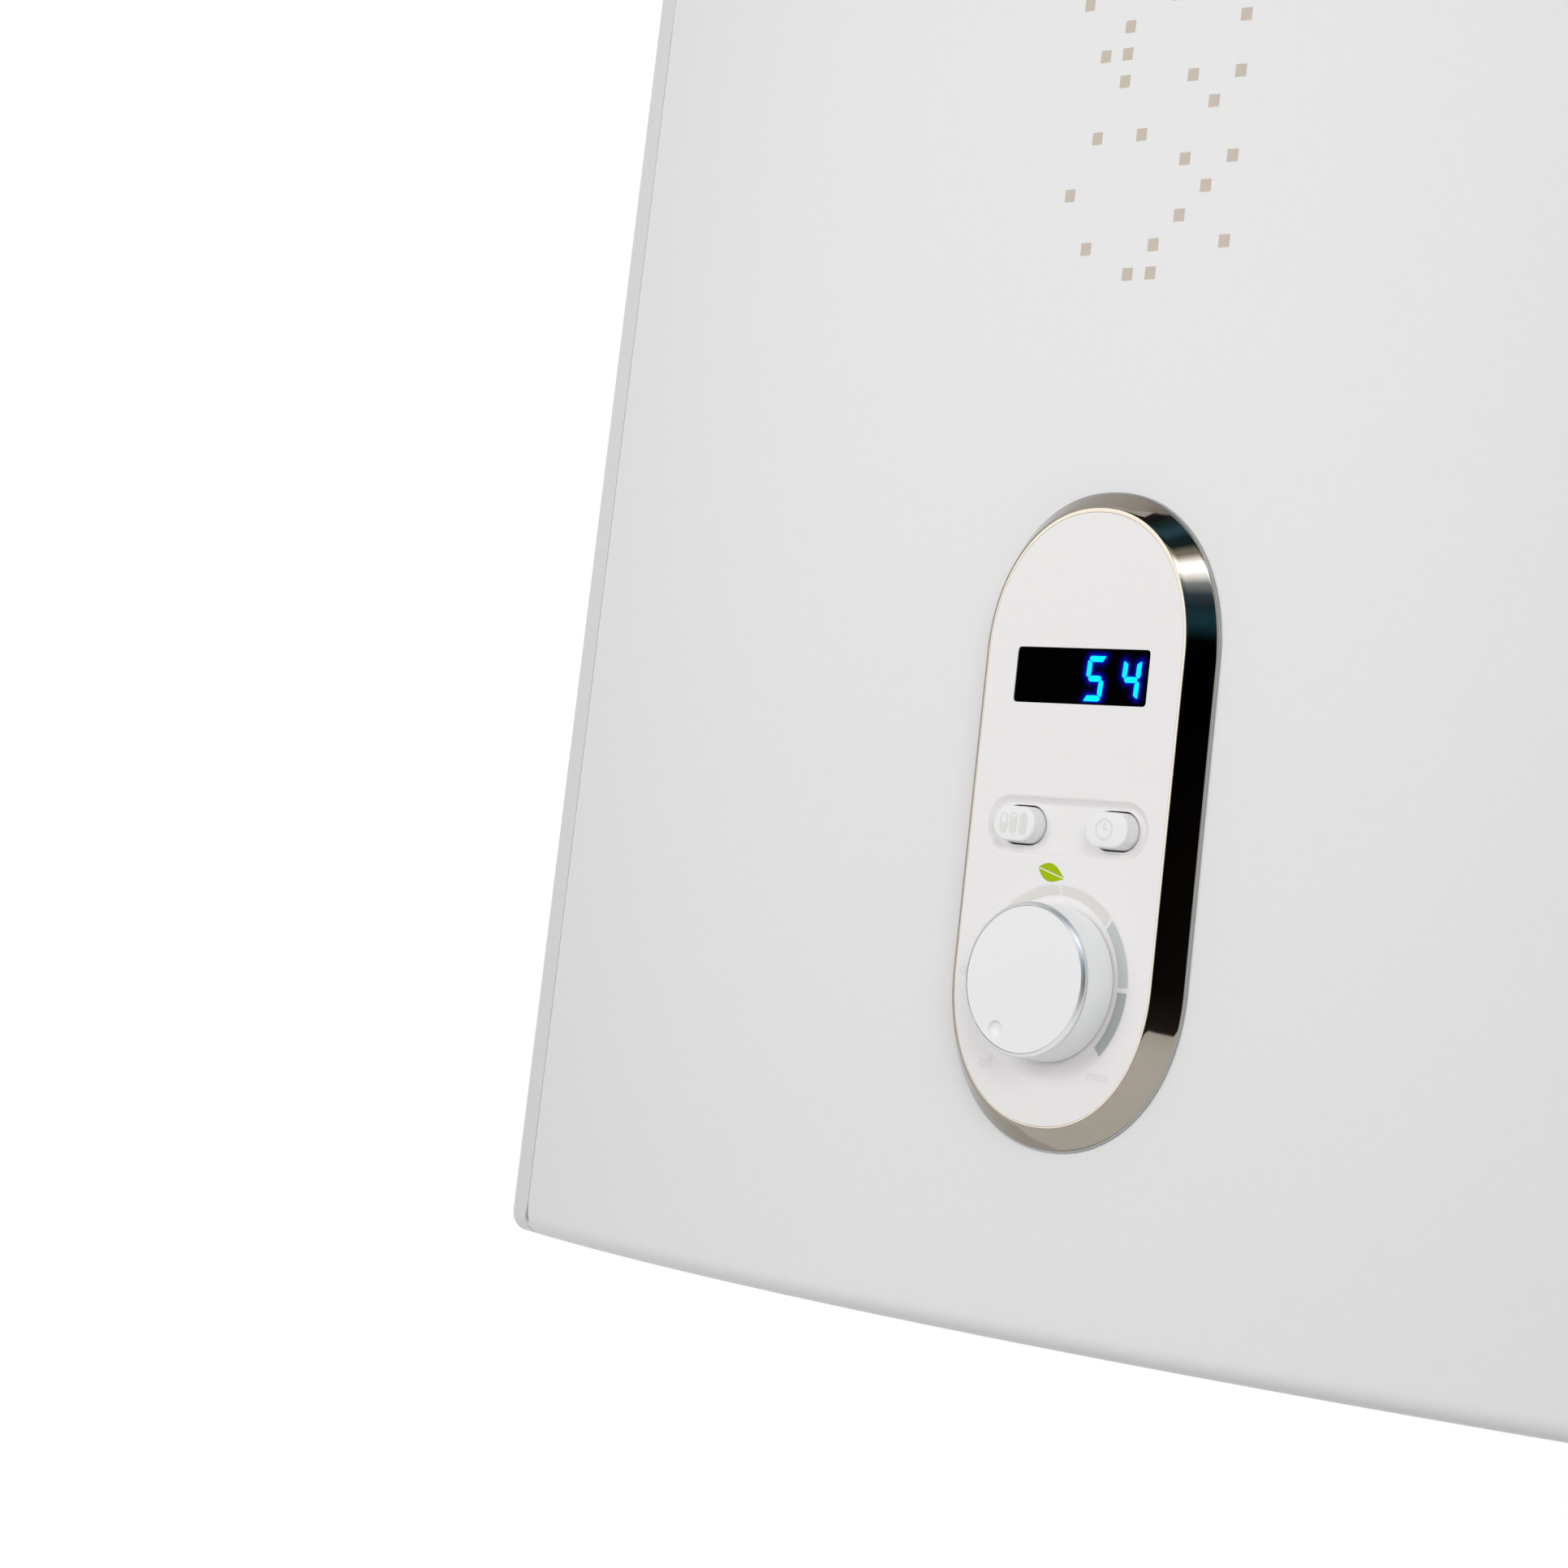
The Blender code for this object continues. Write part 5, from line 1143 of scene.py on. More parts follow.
@dataclass
class Bezel:
    """The plated frame: a lip painted pale cream as a painted highlight, a sloped mirror flank and
    a foot on the bowed front.
    """

    inner_half_width: float = 0.03138
    inner_cap: float = 0.03733
    inner_half_height: float = 0.07793
    outer_half_width: float = 0.0377
    outer_cap: float = 0.0436
    outer_half_height: float = 0.0840
    lip_top: float = 0.00635
    inner_top: float = 0.00618
    inner_foot: float = 0.0008
    flank_foot: float = 0.0009
    flank_drop: float = 0.0003
    flank_belly: float = 0.0001
    flank_bow: float = 0.999
    flank_steps: int = 10
    ledge: float = 0.0007
    gap: float = 0.00022
    lip_share: float = 0.09
    flank_share: float = 0.17
    foot_share: float = 0.95
    seal_shadow_share: float = 0.975
    hollow_share: float = 0.12
    # Lip, roll and ledge as (share of the width, drop), and the hollow with its share of the bow
    lip_points: tuple[Point, ...] = ((0.02, 0.00004), (0.05, 0.0))
    roll_points: tuple[Point, ...] = ((0.105, 0.00003), (0.13, 0.0001), (0.15, 0.0002))
    ledge_points: tuple[Point, ...] = ((0.960, 0.0), (0.992, 0.00005), (1.0, 0.00015))
    hollow_points: tuple[tuple[float, float, float], ...] = (
        (0.80, 0.0, 1.0),
        (0.75, 0.0006, 1.0),
        (0.22, 0.0048, 0.0),
        (0.12, 0.0048, 0.0),
    )
    # How far the lip's painted highlight widens towards the top and the right, where the light
    # catches it
    lip_least: float = 0.50
    lip_upward: float = 1.25
    lip_rightward: float = 0.42
    lip_corner: float = 0.3
    roll_leftward: float = 0.6
    sharp: float = 28.0

    def section(self) -> list[tuple[float, float, float, Coat]]:
        """The frame's section from its inner foot over the lip and the flank to its hollow.

        Returns:
            Rows of (share of the width, height, share of the front's bow below, coat up to the
            next row).
        """
        inner = [(0.0, self.inner_foot), (0.0, self.inner_top)]
        inner += [(share, self.lip_top - drop) for share, drop in self.lip_points]
        rows = [(share, height, 0.0, Coat.LIP) for share, height in inner]
        for share, drop in ((self.lip_share, 0.0), *self.roll_points):
            rows.append((share, self.lip_top - drop, 0.0, Coat.MIRROR))
        start = self.lip_top - self.flank_drop
        for step in range(self.flank_steps + 1):
            t = step / self.flank_steps
            share = self.flank_share + (self.foot_share - self.flank_share) * t
            belly = self.flank_belly * math.sin(math.pi * t)
            height = start + (self.flank_foot - start) * t + belly
            rows.append((share, height, self.flank_bow * t, Coat.MIRROR))
        for share, drop in self.ledge_points:
            rows.append((share, self.ledge - drop, 1.0, Coat.LEDGE))
        # The black seal band in the foot's gap also paints the shadow line on the casing
        rows += [(1.0, self.gap, 1.0, Coat.SEAL), (self.seal_shadow_share, self.gap, 1.0, Coat.SEAL)]
        hollow = [(self.seal_shadow_share, 0.0, 1.0), *self.hollow_points]
        hollow.append((self.hollow_share, self.inner_foot, 0.0))
        return rows + [(*point, Coat.MIRROR) for point in hollow]

    def widened(self, share: float, x: float, y: float) -> float:
        """A share of the width after the lip, whose pale cream is a painted highlight, has grown
        towards the top and a little to the right, where that highlight is widest.

        Args:
            share: the share before.
            x: how far right the point lies, from -1 to 1.
            y: how far up it lies, from -1 to 1.

        Returns:
            The share where the flank starts later by as much as the lip grew.
        """
        grown = self.lip_least + self.lip_rightward * x
        grown += self.lip_upward * max(0.0, y) ** 2 * (1 + self.lip_corner * x)
        if share <= self.lip_share:
            return share * grown
        if share >= self.foot_share:
            return share
        lip, roll = self.lip_share * grown, 1 + self.roll_leftward * max(0.0, -x)
        if share <= self.flank_share:
            return lip + (share - self.lip_share) * roll
        start = lip + (self.flank_share - self.lip_share) * roll
        step = (self.foot_share - start) / (self.foot_share - self.flank_share)
        return start + (share - self.flank_share) * step

    def make(self, casing: Casing) -> None:
        """Loft the section round the pill.

        Args:
            casing: what its foot stands on.
        """
        inner = pill(self.inner_half_width, self.inner_cap, self.inner_half_height)
        outer = pill(self.outer_half_width, self.outer_cap, self.outer_half_height)
        rings, materials = [], []
        for share, height, bowed, coat in self.section():
            ring = []
            for (x0, y0), (x1, y1) in zip(inner, outer):
                moved = self.widened(share, x1 / self.outer_half_width, y1 / self.outer_half_height)
                x, y = x0 + (x1 - x0) * moved, y0 + (y1 - y0) * moved
                drop = casing.bow(x if bowed == 1.0 else x1)
                ring.append(Vector((x, y, height - bowed * drop)))
            rings.append(ring)
            materials.append(coat.value)
        work = bmesh.new()
        add_loft(work, rings, looped=True, materials=materials)
        make_piece(
            "plated_panel_frame",
            work,
            [DARK_CHROME, LIP_PAINTED_HIGHLIGHT, SEAL, LEDGE_CHROME],
            space=PANEL,
            sharp=self.sharp,
            stands_for=("chrome_bezel", "chrome"),
        )


@dataclass
class FacePlate:
    """The white plate with its key tray, knob dish and window opening."""

    half_width: float = 0.03130
    cap: float = 0.03725
    half_height: float = 0.07785
    top: float = 0.0062
    foot: float = 0.0006
    edge: float = 0.00012
    tray_drop: float = 0.0031
    tray_half_length: float = 0.0261
    tray_radius: float = 0.0073
    tray_depth: float = 0.0014
    tray_slope: float = 0.0016
    tray_edge: float = 0.0006
    tray_brow: Point = (0.0003, 0.00045)
    tray_toe: Point = (0.0010, 0.00042)
    tray_flat: float = 0.0020
    key_centre: float = 0.0150
    key_half_length: float = 0.0075
    key_radius: float = 0.0051
    key_hole_depth: float = 0.0012
    key_edge: float = 0.00015
    window_rise: float = 0.0355
    window_x: float = -0.0003
    window_half_width: float = 0.02155
    window_half_height: float = 0.00718
    window_corner: float = 0.0010
    window_depth: float = 0.0015
    window_edge: float = 0.0002
    knob_drop: float = 0.0422
    dish_radius: float = 0.0250
    dish_floor: float = 0.0217
    dish_depth: float = 0.0010
    dish_edge: float = 0.0004
    dish_brow: Point = (0.0005, 0.00015)
    dish_toe: float = 0.0001
    bushing_radius: float = 0.0038
    slope_steps: int = 6
    sharp: float = 50.0

    def rim(self, grow: float) -> Outline:
        """The plate's outline."""
        return pill(self.half_width + grow, self.cap + grow, self.half_height + grow)

    def opening(self, grow: float) -> Outline:
        """The window opening's outline.

        Args:
            grow: how far it is moved out.

        Returns:
            Its points.
        """
        sizes = (self.window_half_width, self.window_half_height, self.window_corner)
        middle = (self.window_x, self.window_rise)
        return rounded_rectangle(*(size + grow for size in sizes), middle)

    def tray(self, grow: float) -> Outline:
        """The key tray's outline."""
        middle = (0.0, -self.tray_drop)
        return stadium(self.tray_half_length + grow, self.tray_radius + grow, middle)

    def well(self, side: int, grow: float) -> Outline:
        """The outline of one key's well."""
        spot = (side * self.key_centre, -self.tray_drop)
        return stadium(self.key_half_length + grow, self.key_radius + grow, spot)

    def dish(self, radius: float) -> Outline:
        """A circle about the knob's axis."""
        return circle(radius, (0.0, -self.knob_drop))

    def make(self) -> None:
        """Build the plate from flats, soft corners and walls."""
        work = bmesh.new()
        top, edge, brim = self.top, self.edge, self.dish_radius + self.dish_edge
        holes = [self.opening(self.window_edge), self.tray(self.tray_edge), self.dish(brim)]
        add_fill(work, [self.rim(-edge), *holes], top)
        side_wall = fillet((-edge, top), (0.0, top), (0.0, top - edge)) + [(0.0, self.foot)]
        add_walls(work, self.rim, side_wall)
        soft = self.window_edge
        wall = fillet((soft, top), (0.0, top), (0.0, top - soft))
        add_walls(work, self.opening, wall + [(0.0, top - self.window_depth)])
        self.make_tray(work)
        self.make_dish(work)
        make_piece(
            "moulded_face_plate",
            work,
            [PLATE_ABS],
            space=PANEL,
            sharp=self.sharp,
            flats=True,
            stands_for=("face_plate", "white_panel"),
        )

    def make_tray(self, work: bmesh.types.BMesh) -> None:
        """Add the tray's slope and floor, and the wells of the keys.

        Args:
            work: the plate's mesh.
        """
        top, floor, soft = self.top, self.top - self.tray_depth, self.key_edge
        (brow, brow_drop), (toe, toe_rise) = self.tray_brow, self.tray_toe
        slope = fillet(
            (self.tray_edge, top), (0.0, top), (-brow, top - brow_drop), self.slope_steps
        )
        slope += fillet(
            (-toe, floor + toe_rise),
            (-self.tray_slope, floor),
            (-self.tray_flat, floor),
            self.slope_steps,
        )
        add_walls(work, self.tray, slope)
        wells = [self.well(side, soft) for side in (-1, 1)]
        add_fill(work, [self.tray(-self.tray_flat), *wells], floor)
        wall = fillet((soft, floor), (0.0, floor), (0.0, floor - soft))
        wall.append((0.0, floor - self.key_hole_depth))
        for side in (-1, 1):
            add_loft(work, [lift(self.well(side, grow), height) for grow, height in wall])

    def make_dish(self, work: bmesh.types.BMesh) -> None:
        """Add the knob's dish with the hole for its bushing.

        Args:
            work: the plate's mesh.
        """
        top, low, edge = self.top, self.top - self.dish_depth, self.dish_edge
        brow, brow_drop = self.dish_brow
        outer, inner = self.dish_radius, self.dish_floor
        wall = fillet((outer + edge, top), (outer, top), (outer - brow, top - brow_drop))
        wall += fillet((inner + edge, low + self.dish_toe), (inner, low), (inner - edge, low))
        add_walls(work, self.dish, wall)
        add_fill(work, [self.dish(inner - edge), self.dish(self.bushing_radius)], low)

    def dish_height(self, radius: float) -> float:
        """How high the dish's wall lies at a distance from the knob's axis."""
        share = (radius - self.dish_floor) / (self.dish_radius - self.dish_floor)
        return self.top - self.dish_depth * (1 - min(1.0, max(0.0, share)))


@dataclass
class Display:
    """The black window and the lit digits that show the water's temperature."""

    half_width: float = 0.0214
    half_height: float = 0.00703
    corner: float = 0.0009
    edge: float = 0.00015
    front: float = 0.0061
    back: float = 0.0040
    digit_width: float = 0.00586
    digit_height: float = 0.0116
    stroke: float = 0.00152
    slit: float = 0.00025
    rounding: float = 0.0003
    rounding_steps: int = 3
    slant: float = 0.055
    digits: tuple[tuple[str, float], ...] = (("5", 0.00425), ("4", 0.0158))
    digit_rise: float = 0.0350
    film: float = 0.00002
    glow_start: float = -0.0010
    glow_margin: float = 0.0003
    glow_step: float = 0.00025
    glow_reach: float = 0.0011
    # The halo's colours from its edge to the lit segments, by strength
    glow_colours: tuple[tuple[float, str], ...] = (
        (0.0, "000000"),
        (0.55, "040358"),
        (1.0, "0A14A8"),
    )

    SEGMENTS = {"4": "bcfg", "5": "acdfg"}
    # Corners as multiples of half the digit's width, the stroke and the slit across, and of half
    # its height, the stroke and the slit up: the middle bar, the top bar and the upper right one
    MIDDLE = (
        (-1, 0.3, 1, 0, 0, 0),
        (-1, 0.75, 1, 0, 0.5, 0),
        (1, -0.75, -1, 0, 0.5, 0),
        (1, -0.3, -1, 0, 0, 0),
        (1, -0.75, -1, 0, -0.5, 0),
        (-1, 0.75, 1, 0, -0.5, 0),
    )
    TOP = (
        (-1, 0, 1, 1, -0.45, 0),
        (-1, 0.4, 1, 1, 0, 0),
        (1, -0.1, 0, 1, 0, 0),
        (1, -0.55, -1, 1, -1, 0),
        (-1, 0.6, 1, 1, -1, 0),
    )
    UPPER_RIGHT = (
        (1, -0.25, 0, 1, -0.55, -1),
        (1, 0, 0, 1, -0.8, 0),
        (1, 0, 0, 0, 0.35, 1),
        (1, -0.5, 0, 0, 0, 1),
        (1, -1, 0, 0, 0.5, 1),
        (1, -1, 0, 1, -1, -1.4),
    )

    def segment(self, letter: str) -> Outline:
        """One segment's outline in an upright digit about its middle.

        Args:
            letter: a to g in the usual order, a on top, d at the foot and g in the middle.

        Returns:
            Its outline, with slits to its neighbours and softened corners.
        """
        table = {"g": self.MIDDLE, "a": self.TOP, "d": self.TOP}.get(letter, self.UPPER_RIGHT)
        across = (self.digit_width / 2, self.stroke, self.slit)
        up = (self.digit_height / 2, self.stroke, self.slit)
        sums = [
            [sum(a * b for a, b in zip(*pair)) for pair in ((row[:3], across), (row[3:], up))]
            for row in table
        ]
        corners = [Vector(pair) for pair in sums]
        side = -1 if letter in "def" else 1
        way = -1 if letter in "cde" else 1
        soft = []
        for number, here in enumerate(corners):
            last, after = corners[number - 1], corners[(number + 1) % len(corners)]
            near = [here + (other - here).normalized() * self.rounding for other in (last, after)]
            soft += fillet(tuple(near[0]), tuple(here), tuple(near[1]), self.rounding_steps)
        return [(x * side, y * way) for x, y in soft]

    def make(self, plate: FacePlate) -> None:
        """Make the window, its glow and the digits.

        Args:
            plate: the plate whose opening the window fills.
        """
        work = bmesh.new()
        front, edge = self.front, self.edge
        middle = (plate.window_x, plate.window_rise)
        sizes = (self.half_width, self.half_height, self.corner)
        profile = fillet((-edge, front), (0.0, front), (0.0, front - edge)) + [(0.0, self.back)]
        add_walls(
            work,
            lambda grow: rounded_rectangle(*(size + grow for size in sizes), middle),
            profile,
            caps=True,
        )
        make_piece(
            "smoked_window_pane",
            work,
            [WINDOW],
            space=PANEL,
            flats=True,
            stands_for=("display_window", "smoked_window"),
        )
        work = bmesh.new()
        shapes = []
        for number, x in self.digits:
            for letter in self.SEGMENTS[number]:
                upright = self.segment(letter)
                shapes.append([(x + a + self.slant * b, self.digit_rise + b) for a, b in upright])
                add_face(work, shapes[-1], front + 2 * self.film)
        make_print("lit_digits", work, [LIT_SEGMENT])
        self.make_glow(plate, shapes)

    def make_glow(self, plate: FacePlate, shapes: Sequence[Outline]) -> None:
        """Lay the blue halo of the lit segments on the window.

        Args:
            plate: the plate whose opening the window fills.
            shapes: the outlines of the lit segments.
        """
        margin, height = self.glow_margin, self.front + self.film
        low_x, high_x = self.glow_start, plate.window_x + self.half_width - margin
        low_y = plate.window_rise - self.half_height + margin
        high_y = plate.window_rise + self.half_height - margin
        columns = round((high_x - low_x) / self.glow_step)
        rows = round((high_y - low_y) / self.glow_step)
        across = [low_x + (high_x - low_x) * i / columns for i in range(columns + 1)]
        up = [low_y + (high_y - low_y) * j / rows for j in range(rows + 1)]
        grid = [[(x, y) for x in across] for y in up]
        edges = [(Vector(a), Vector(b)) for s in shapes for a, b in zip(s, s[1:] + s[:1])]
        strengths = []
        for spot in (Vector(point) for row in grid for point in row):
            near = min(distance_to(spot, a, b) for a, b in edges)
            strengths.append(math.exp(-((near / self.glow_reach) ** 2)))
        work = bmesh.new()
        add_loft(work, [lift(row, height) for row in grid], closed=False)
        glow = make_print("digit_glow", work, [WINDOW])
        halo = glow.data.attributes.new("halo", "FLOAT", "POINT")
        halo.data.foreach_set("value", strengths)
        glow.data.materials[0] = self.glow_material()

    def glow_material(self) -> bpy.types.Material:
        """Smoked acrylic with the segments' stray light in it, deep blue and fading outward.

        Returns:
            The material.
        """
        material, shader = start_material("smoked_acrylic_lit_from_behind")
        tree = material.node_tree
        halo = add_node(tree, "ShaderNodeAttribute", attribute_name="halo")
        ramp = add_node(tree, "ShaderNodeValToRGB", {0: halo.outputs["Fac"]})
        marks = ramp.color_ramp.elements
        marks.new(self.glow_colours[1][0])
        for mark, (_, colour) in zip(marks, self.glow_colours):
            mark.color = linear(colour)
        sockets = {
            "Base Color": linear(WINDOW.colour),
            "Roughness": WINDOW.roughness,
            "Specular IOR Level": WINDOW.specular,
            "Emission Color": ramp.outputs[0],
            "Emission Strength": 1.0,
        }
        fill_sockets(shader, sockets)
        return material


def distance_to(spot: Vector, a: Vector, b: Vector) -> float:
    """How far a point lies from a straight edge between two others.

    Args:
        spot: the point.
        a: one end of the edge.
        b: the other end, at least a hair away.

    Returns:
        The distance to the nearest point of the edge.
    """
    along = b - a
    share = (spot - a).dot(along) / max(along.length_squared, TINY**2)
    return (spot - a - along * max(0.0, min(1.0, share))).length


@dataclass
class Keys:
    """The two pill-shaped keys with their printed signs."""

    half_length: float = 0.0072
    radius: float = 0.0048
    top: float = 0.0091
    skirt: float = 0.0028
    draft: float = 0.0003
    edge: float = 0.0007
    edge_steps: int = 6
    brow: float = 1.6
    crown: float = 0.00012
    crown_reach: float = 0.0028
    film: float = 0.00003
    sharp: float = 60.0
    # Each tube as (middle, height, empty share), for one half, three quarters and a full tank
    tubes: tuple[tuple[float, float, float], ...] = (
        (-0.0181, 0.0052, 0.52),
        (-0.0150, 0.0055, 0.24),
        (-0.0118, 0.0057, 0.0),
    )
    tube_half_width: float = 0.00125
    tube_line: float = 0.28
    tube_steps: int = 12
    clock_x: float = 0.0145
    clock_outer: float = 0.0028
    clock_inner: float = 0.00225
    clock_steps: int = 48
    hand: float = 0.00024
    long_hand: float = 0.0017
    short_hand: float = 0.0012

    def make(self, plate: FacePlate) -> None:
        """Make both keys.

        Args:
            plate: the plate whose wells they stand in.
        """
        side_in, edge, top = -self.draft, self.edge, self.top
        profile = [(0.0, self.skirt)]
        profile += fillet(
            (side_in, top - edge), (side_in, top), (side_in - edge, top), self.edge_steps
        )
        profile.append((side_in - self.brow * edge, top + self.crown / 2))
        profile.append((-self.crown_reach, top + self.crown))
        for name, side, body in (("level", -1, Body.LEVEL_KEY), ("timer", 1, Body.TIMER_KEY)):
            spot = (side * plate.key_centre, -plate.tray_drop)
            rings = [
                lift(stadium(self.half_length + grow, self.radius + grow, spot), z - self.crown)
                for grow, z in profile
            ]
            work = bmesh.new()
            add_loft(work, rings, caps=True)
            make_piece(
                f"{name}_key_cap",
                work,
                [KEY_WHITE],
                body,
                PANEL,
                self.sharp,
                flats=True,
                stands_for=(f"{name}_button", "white_key"),
            )
        self.make_level_sign(-plate.tray_drop)
        self.make_timer_sign(-plate.tray_drop)

    def tube(self, spot: Point, inset: float, low: float, high: float) -> Outline:
        """An upright tube with round ends.

        Args:
            spot: the middle of the sign.
            inset: how far the outline is moved in at the sides.
            low: its foot, seen from the middle.
            high: its top, seen from the middle.

        Returns:
            Its outline.
        """
        radius = self.tube_half_width - inset
        turns = [math.pi * i / self.tube_steps for i in range(self.tube_steps + 1)]
        arc = [(radius * math.cos(turn), radius * math.sin(turn)) for turn in turns]
        points = [(x, high - radius + y) for x, y in arc]
        points += [(-x, low + radius - y) for x, y in arc]
        return [(spot[0] + x, spot[1] + y) for x, y in points]

    def make_level_sign(self, middle: float) -> None:
        """Three upright tubes, filled up to three levels.

        Args:
            middle: the height of the sign's middle.
        """
        work = bmesh.new()
        line = self.tube_half_width * self.tube_line
        for x, tall, empty in self.tubes:
            half = tall / 2
            outlines = [self.tube((x, middle), 0.0, -half, half)]
            if empty:
                floor = half - tall * empty
                outlines.append(self.tube((x, middle), line, floor, half - line))
            add_fill(work, outlines, self.top + self.film)
        make_print("level_key_sign", work, [KEY_INK], Body.LEVEL_KEY)

    def make_timer_sign(self, middle: float) -> None:
        """A clock: a ring with two hands.

        Args:
            middle: the height of the sign's middle.
        """
        work = bmesh.new()
        x, height, hand = self.clock_x, self.top + self.film, self.hand
        rings = [
            circle(radius, (x, middle), self.clock_steps)
            for radius in (self.clock_outer, self.clock_inner)
        ]
        add_fill(work, rings, height)
        for left, right, up in ((-hand, hand, self.long_hand), (hand, self.short_hand, hand)):
            corners = [(left, -hand), (right, -hand), (right, up), (left, up)]
            add_face(work, [(x + a, middle + b) for a, b in corners], height)
        make_print("timer_key_sign", work, [KEY_INK], Body.TIMER_KEY)


@dataclass
class Knob:
    """The flared knob with its bright chamfered ring and dimpled face."""

    radius: float = 0.0198
    foot: float = 0.0056
    foot_rise: float = 0.0008
    foot_grow: float = 0.0001
    foot_flat: float = 0.0006
    flare_top: float = 0.0075
    flare_inset: float = 0.0002
    flare_steps: int = 8
    shoulder: float = 0.0190
    shoulder_flat: float = 0.0009
    shoulder_drop: float = 0.0006
    shoulder_grow: float = 0.00003
    seat: float = 0.0149
    shell: float = 0.0018
    roof: float = 0.0014
    hub_radius: float = 0.0052
    hub_foot: float = 0.0074
    bore: float = 0.0033
    bore_top: float = 0.0126
    core: float = 0.0009
    body_sharp: float = 40.0
    ring_radius: float = 0.01945
    ring_inner: float = 0.0184
    ring_rise: float = 0.0003
    ring_edge: float = 0.0001
    ring_brow: Point = (0.0009, 0.00006)
    ring_crest: Point = (0.0002, 0.0003)
    ring_steps: tuple[int, int] = (3, 8)
    ring_sharp: float = 30.0
    chamfer: float = 0.0012
    top: float = 0.0169
    face_top: float = 0.01686
    face_gap: float = 0.00006
    face_edge: float = 0.0002
    face_sharp: float = 60.0
    dimple_radius: float = 0.00225
    dimple_depth: float = 0.0012
    dimple_offset: float = 0.0150
    dimple_turn: float = 240.0
    dimple_points: int = 48
    dimple_steps: int = 8
    dimple_end: float = 8.5
    mouth_steps: int = 4

    def make(self, plate: FacePlate) -> None:
        """Make the body, the ring and the face.

        Args:
            plate: the plate whose dish the knob stands in.
        """
        space = PANEL @ Matrix.Translation((0.0, -plate.knob_drop, 0.0))
        self.make_body(space)
        self.make_ring(space)
        self.make_face(space)

    def make_body(self, space: Matrix) -> None:
        """The moulded body: a flared skirt, hollow inside round its hub.

        Args:
            space: from the knob's own frame to the row frame.
        """
        seat, shoulder, radius, foot = self.seat, self.shoulder, self.radius, self.foot
        high, start = seat - self.shoulder_drop, shoulder + self.shoulder_grow
        outer = fillet((shoulder - self.shoulder_flat, seat), (shoulder, seat), (start, high))
        for step in range(1, self.flare_steps + 1):
            t = step / self.flare_steps
            flare = (radius - self.flare_inset - shoulder) * t * t
            outer.append((start + flare, high + (self.flare_top - high) * t))
        outer += fillet(
            (radius - self.foot_grow, foot + self.foot_rise),
            (radius, foot),
            (radius - self.foot_flat, foot),
        )
        inside = [
            (radius - self.shell, foot),
            (shoulder - self.shell, seat - self.roof),
            (self.hub_radius, seat - self.roof),
            (self.hub_radius, self.hub_foot),
            (self.bore, self.hub_foot),
            (self.bore, self.bore_top),
        ]
        profile = [(self.core, seat), *outer, *inside, (self.core, self.bore_top)]
        work = bmesh.new()
        add_loft(work, turned_rings(profile), caps=True)
        # The body's white is painted lighter than the face's: painted light on the skirt's shaded
        # flanks
        make_piece(
            "knob_moulded_body",
            work,
            [BODY_WHITE_PAINTED_LIGHT],
            Body.KNOB,
            space,
            self.body_sharp,
            stands_for=("knob_body", "white_key"),
        )

    def make_ring(self, space: Matrix) -> None:
        """The bright ring with a wide satin chamfer.

        Args:
            space: from the knob's own frame to the row frame.
        """
        low, top, edge = self.seat + self.ring_rise, self.top, self.ring_edge
        inner, outer = self.ring_inner, self.ring_radius
        (brow, brow_drop), (crest, crest_drop) = self.ring_brow, self.ring_crest
        start = (inner, top - edge)
        profile = [(inner, low), start]
        profile += fillet(start, (inner, top), (inner + edge, top), self.ring_steps[0])
        profile += fillet(
            (outer - brow, top - brow_drop),
            (outer - crest, top - crest_drop),
            (outer, top - self.chamfer),
            self.ring_steps[1],
        )
        profile.append((outer - crest, low))
        work = bmesh.new()
        add_loft(work, turned_rings(profile), looped=True)
        make_piece(
            "knob_bright_ring",
            work,
            [BRIGHT_CHROME],
            Body.KNOB,
            space,
            self.ring_sharp,
            stands_for=("knob_ring", "chrome"),
        )

    def make_face(self, space: Matrix) -> None:
        """The white face, pressed in by a fingertip dimple.

        Args:
            space: from the knob's own frame to the row frame.
        """
        radius, top, edge = self.ring_inner - self.face_gap, self.face_top, self.face_edge
        under = self.seat + self.ring_rise
        turn = math.radians(self.dimple_turn)
        spot = (self.dimple_offset * math.cos(turn), self.dimple_offset * math.sin(turn))
        dimple, depth = self.dimple_radius, self.dimple_depth
        mouth = circle(dimple + edge, spot, self.dimple_points)
        work = bmesh.new()
        add_fill(work, [circle(radius - edge), mouth], top)
        wall = fillet((radius - edge, top), (radius, top), (radius, top - edge))
        add_loft(work, turned_rings(wall + [(radius, under)]))
        add_fill(work, [circle(radius)], under)
        bowl = fillet((dimple + edge, 0.0), (dimple, 0.0), (dimple - edge, -edge), self.mouth_steps)
        for step in range(1, self.dimple_steps + 1):
            angle = math.pi / 2 * step / self.dimple_end
            across, down = (dimple - edge) * math.cos(angle), (depth - edge) * math.sin(angle)
            bowl.append((across, -edge - down))
        rings = [lift(circle(r, spot, self.dimple_points), top + z) for r, z in bowl]
        add_loft(work, rings)
        across, low = bowl[-1]
        add_fill(work, [circle(across, spot, self.dimple_points)], top + low)
        make_piece(
            "knob_white_face",
            work,
            [KEY_WHITE],
            Body.KNOB,
            space,
            self.face_sharp,
            flats=True,
            stands_for=("knob_face", "white_key"),
        )


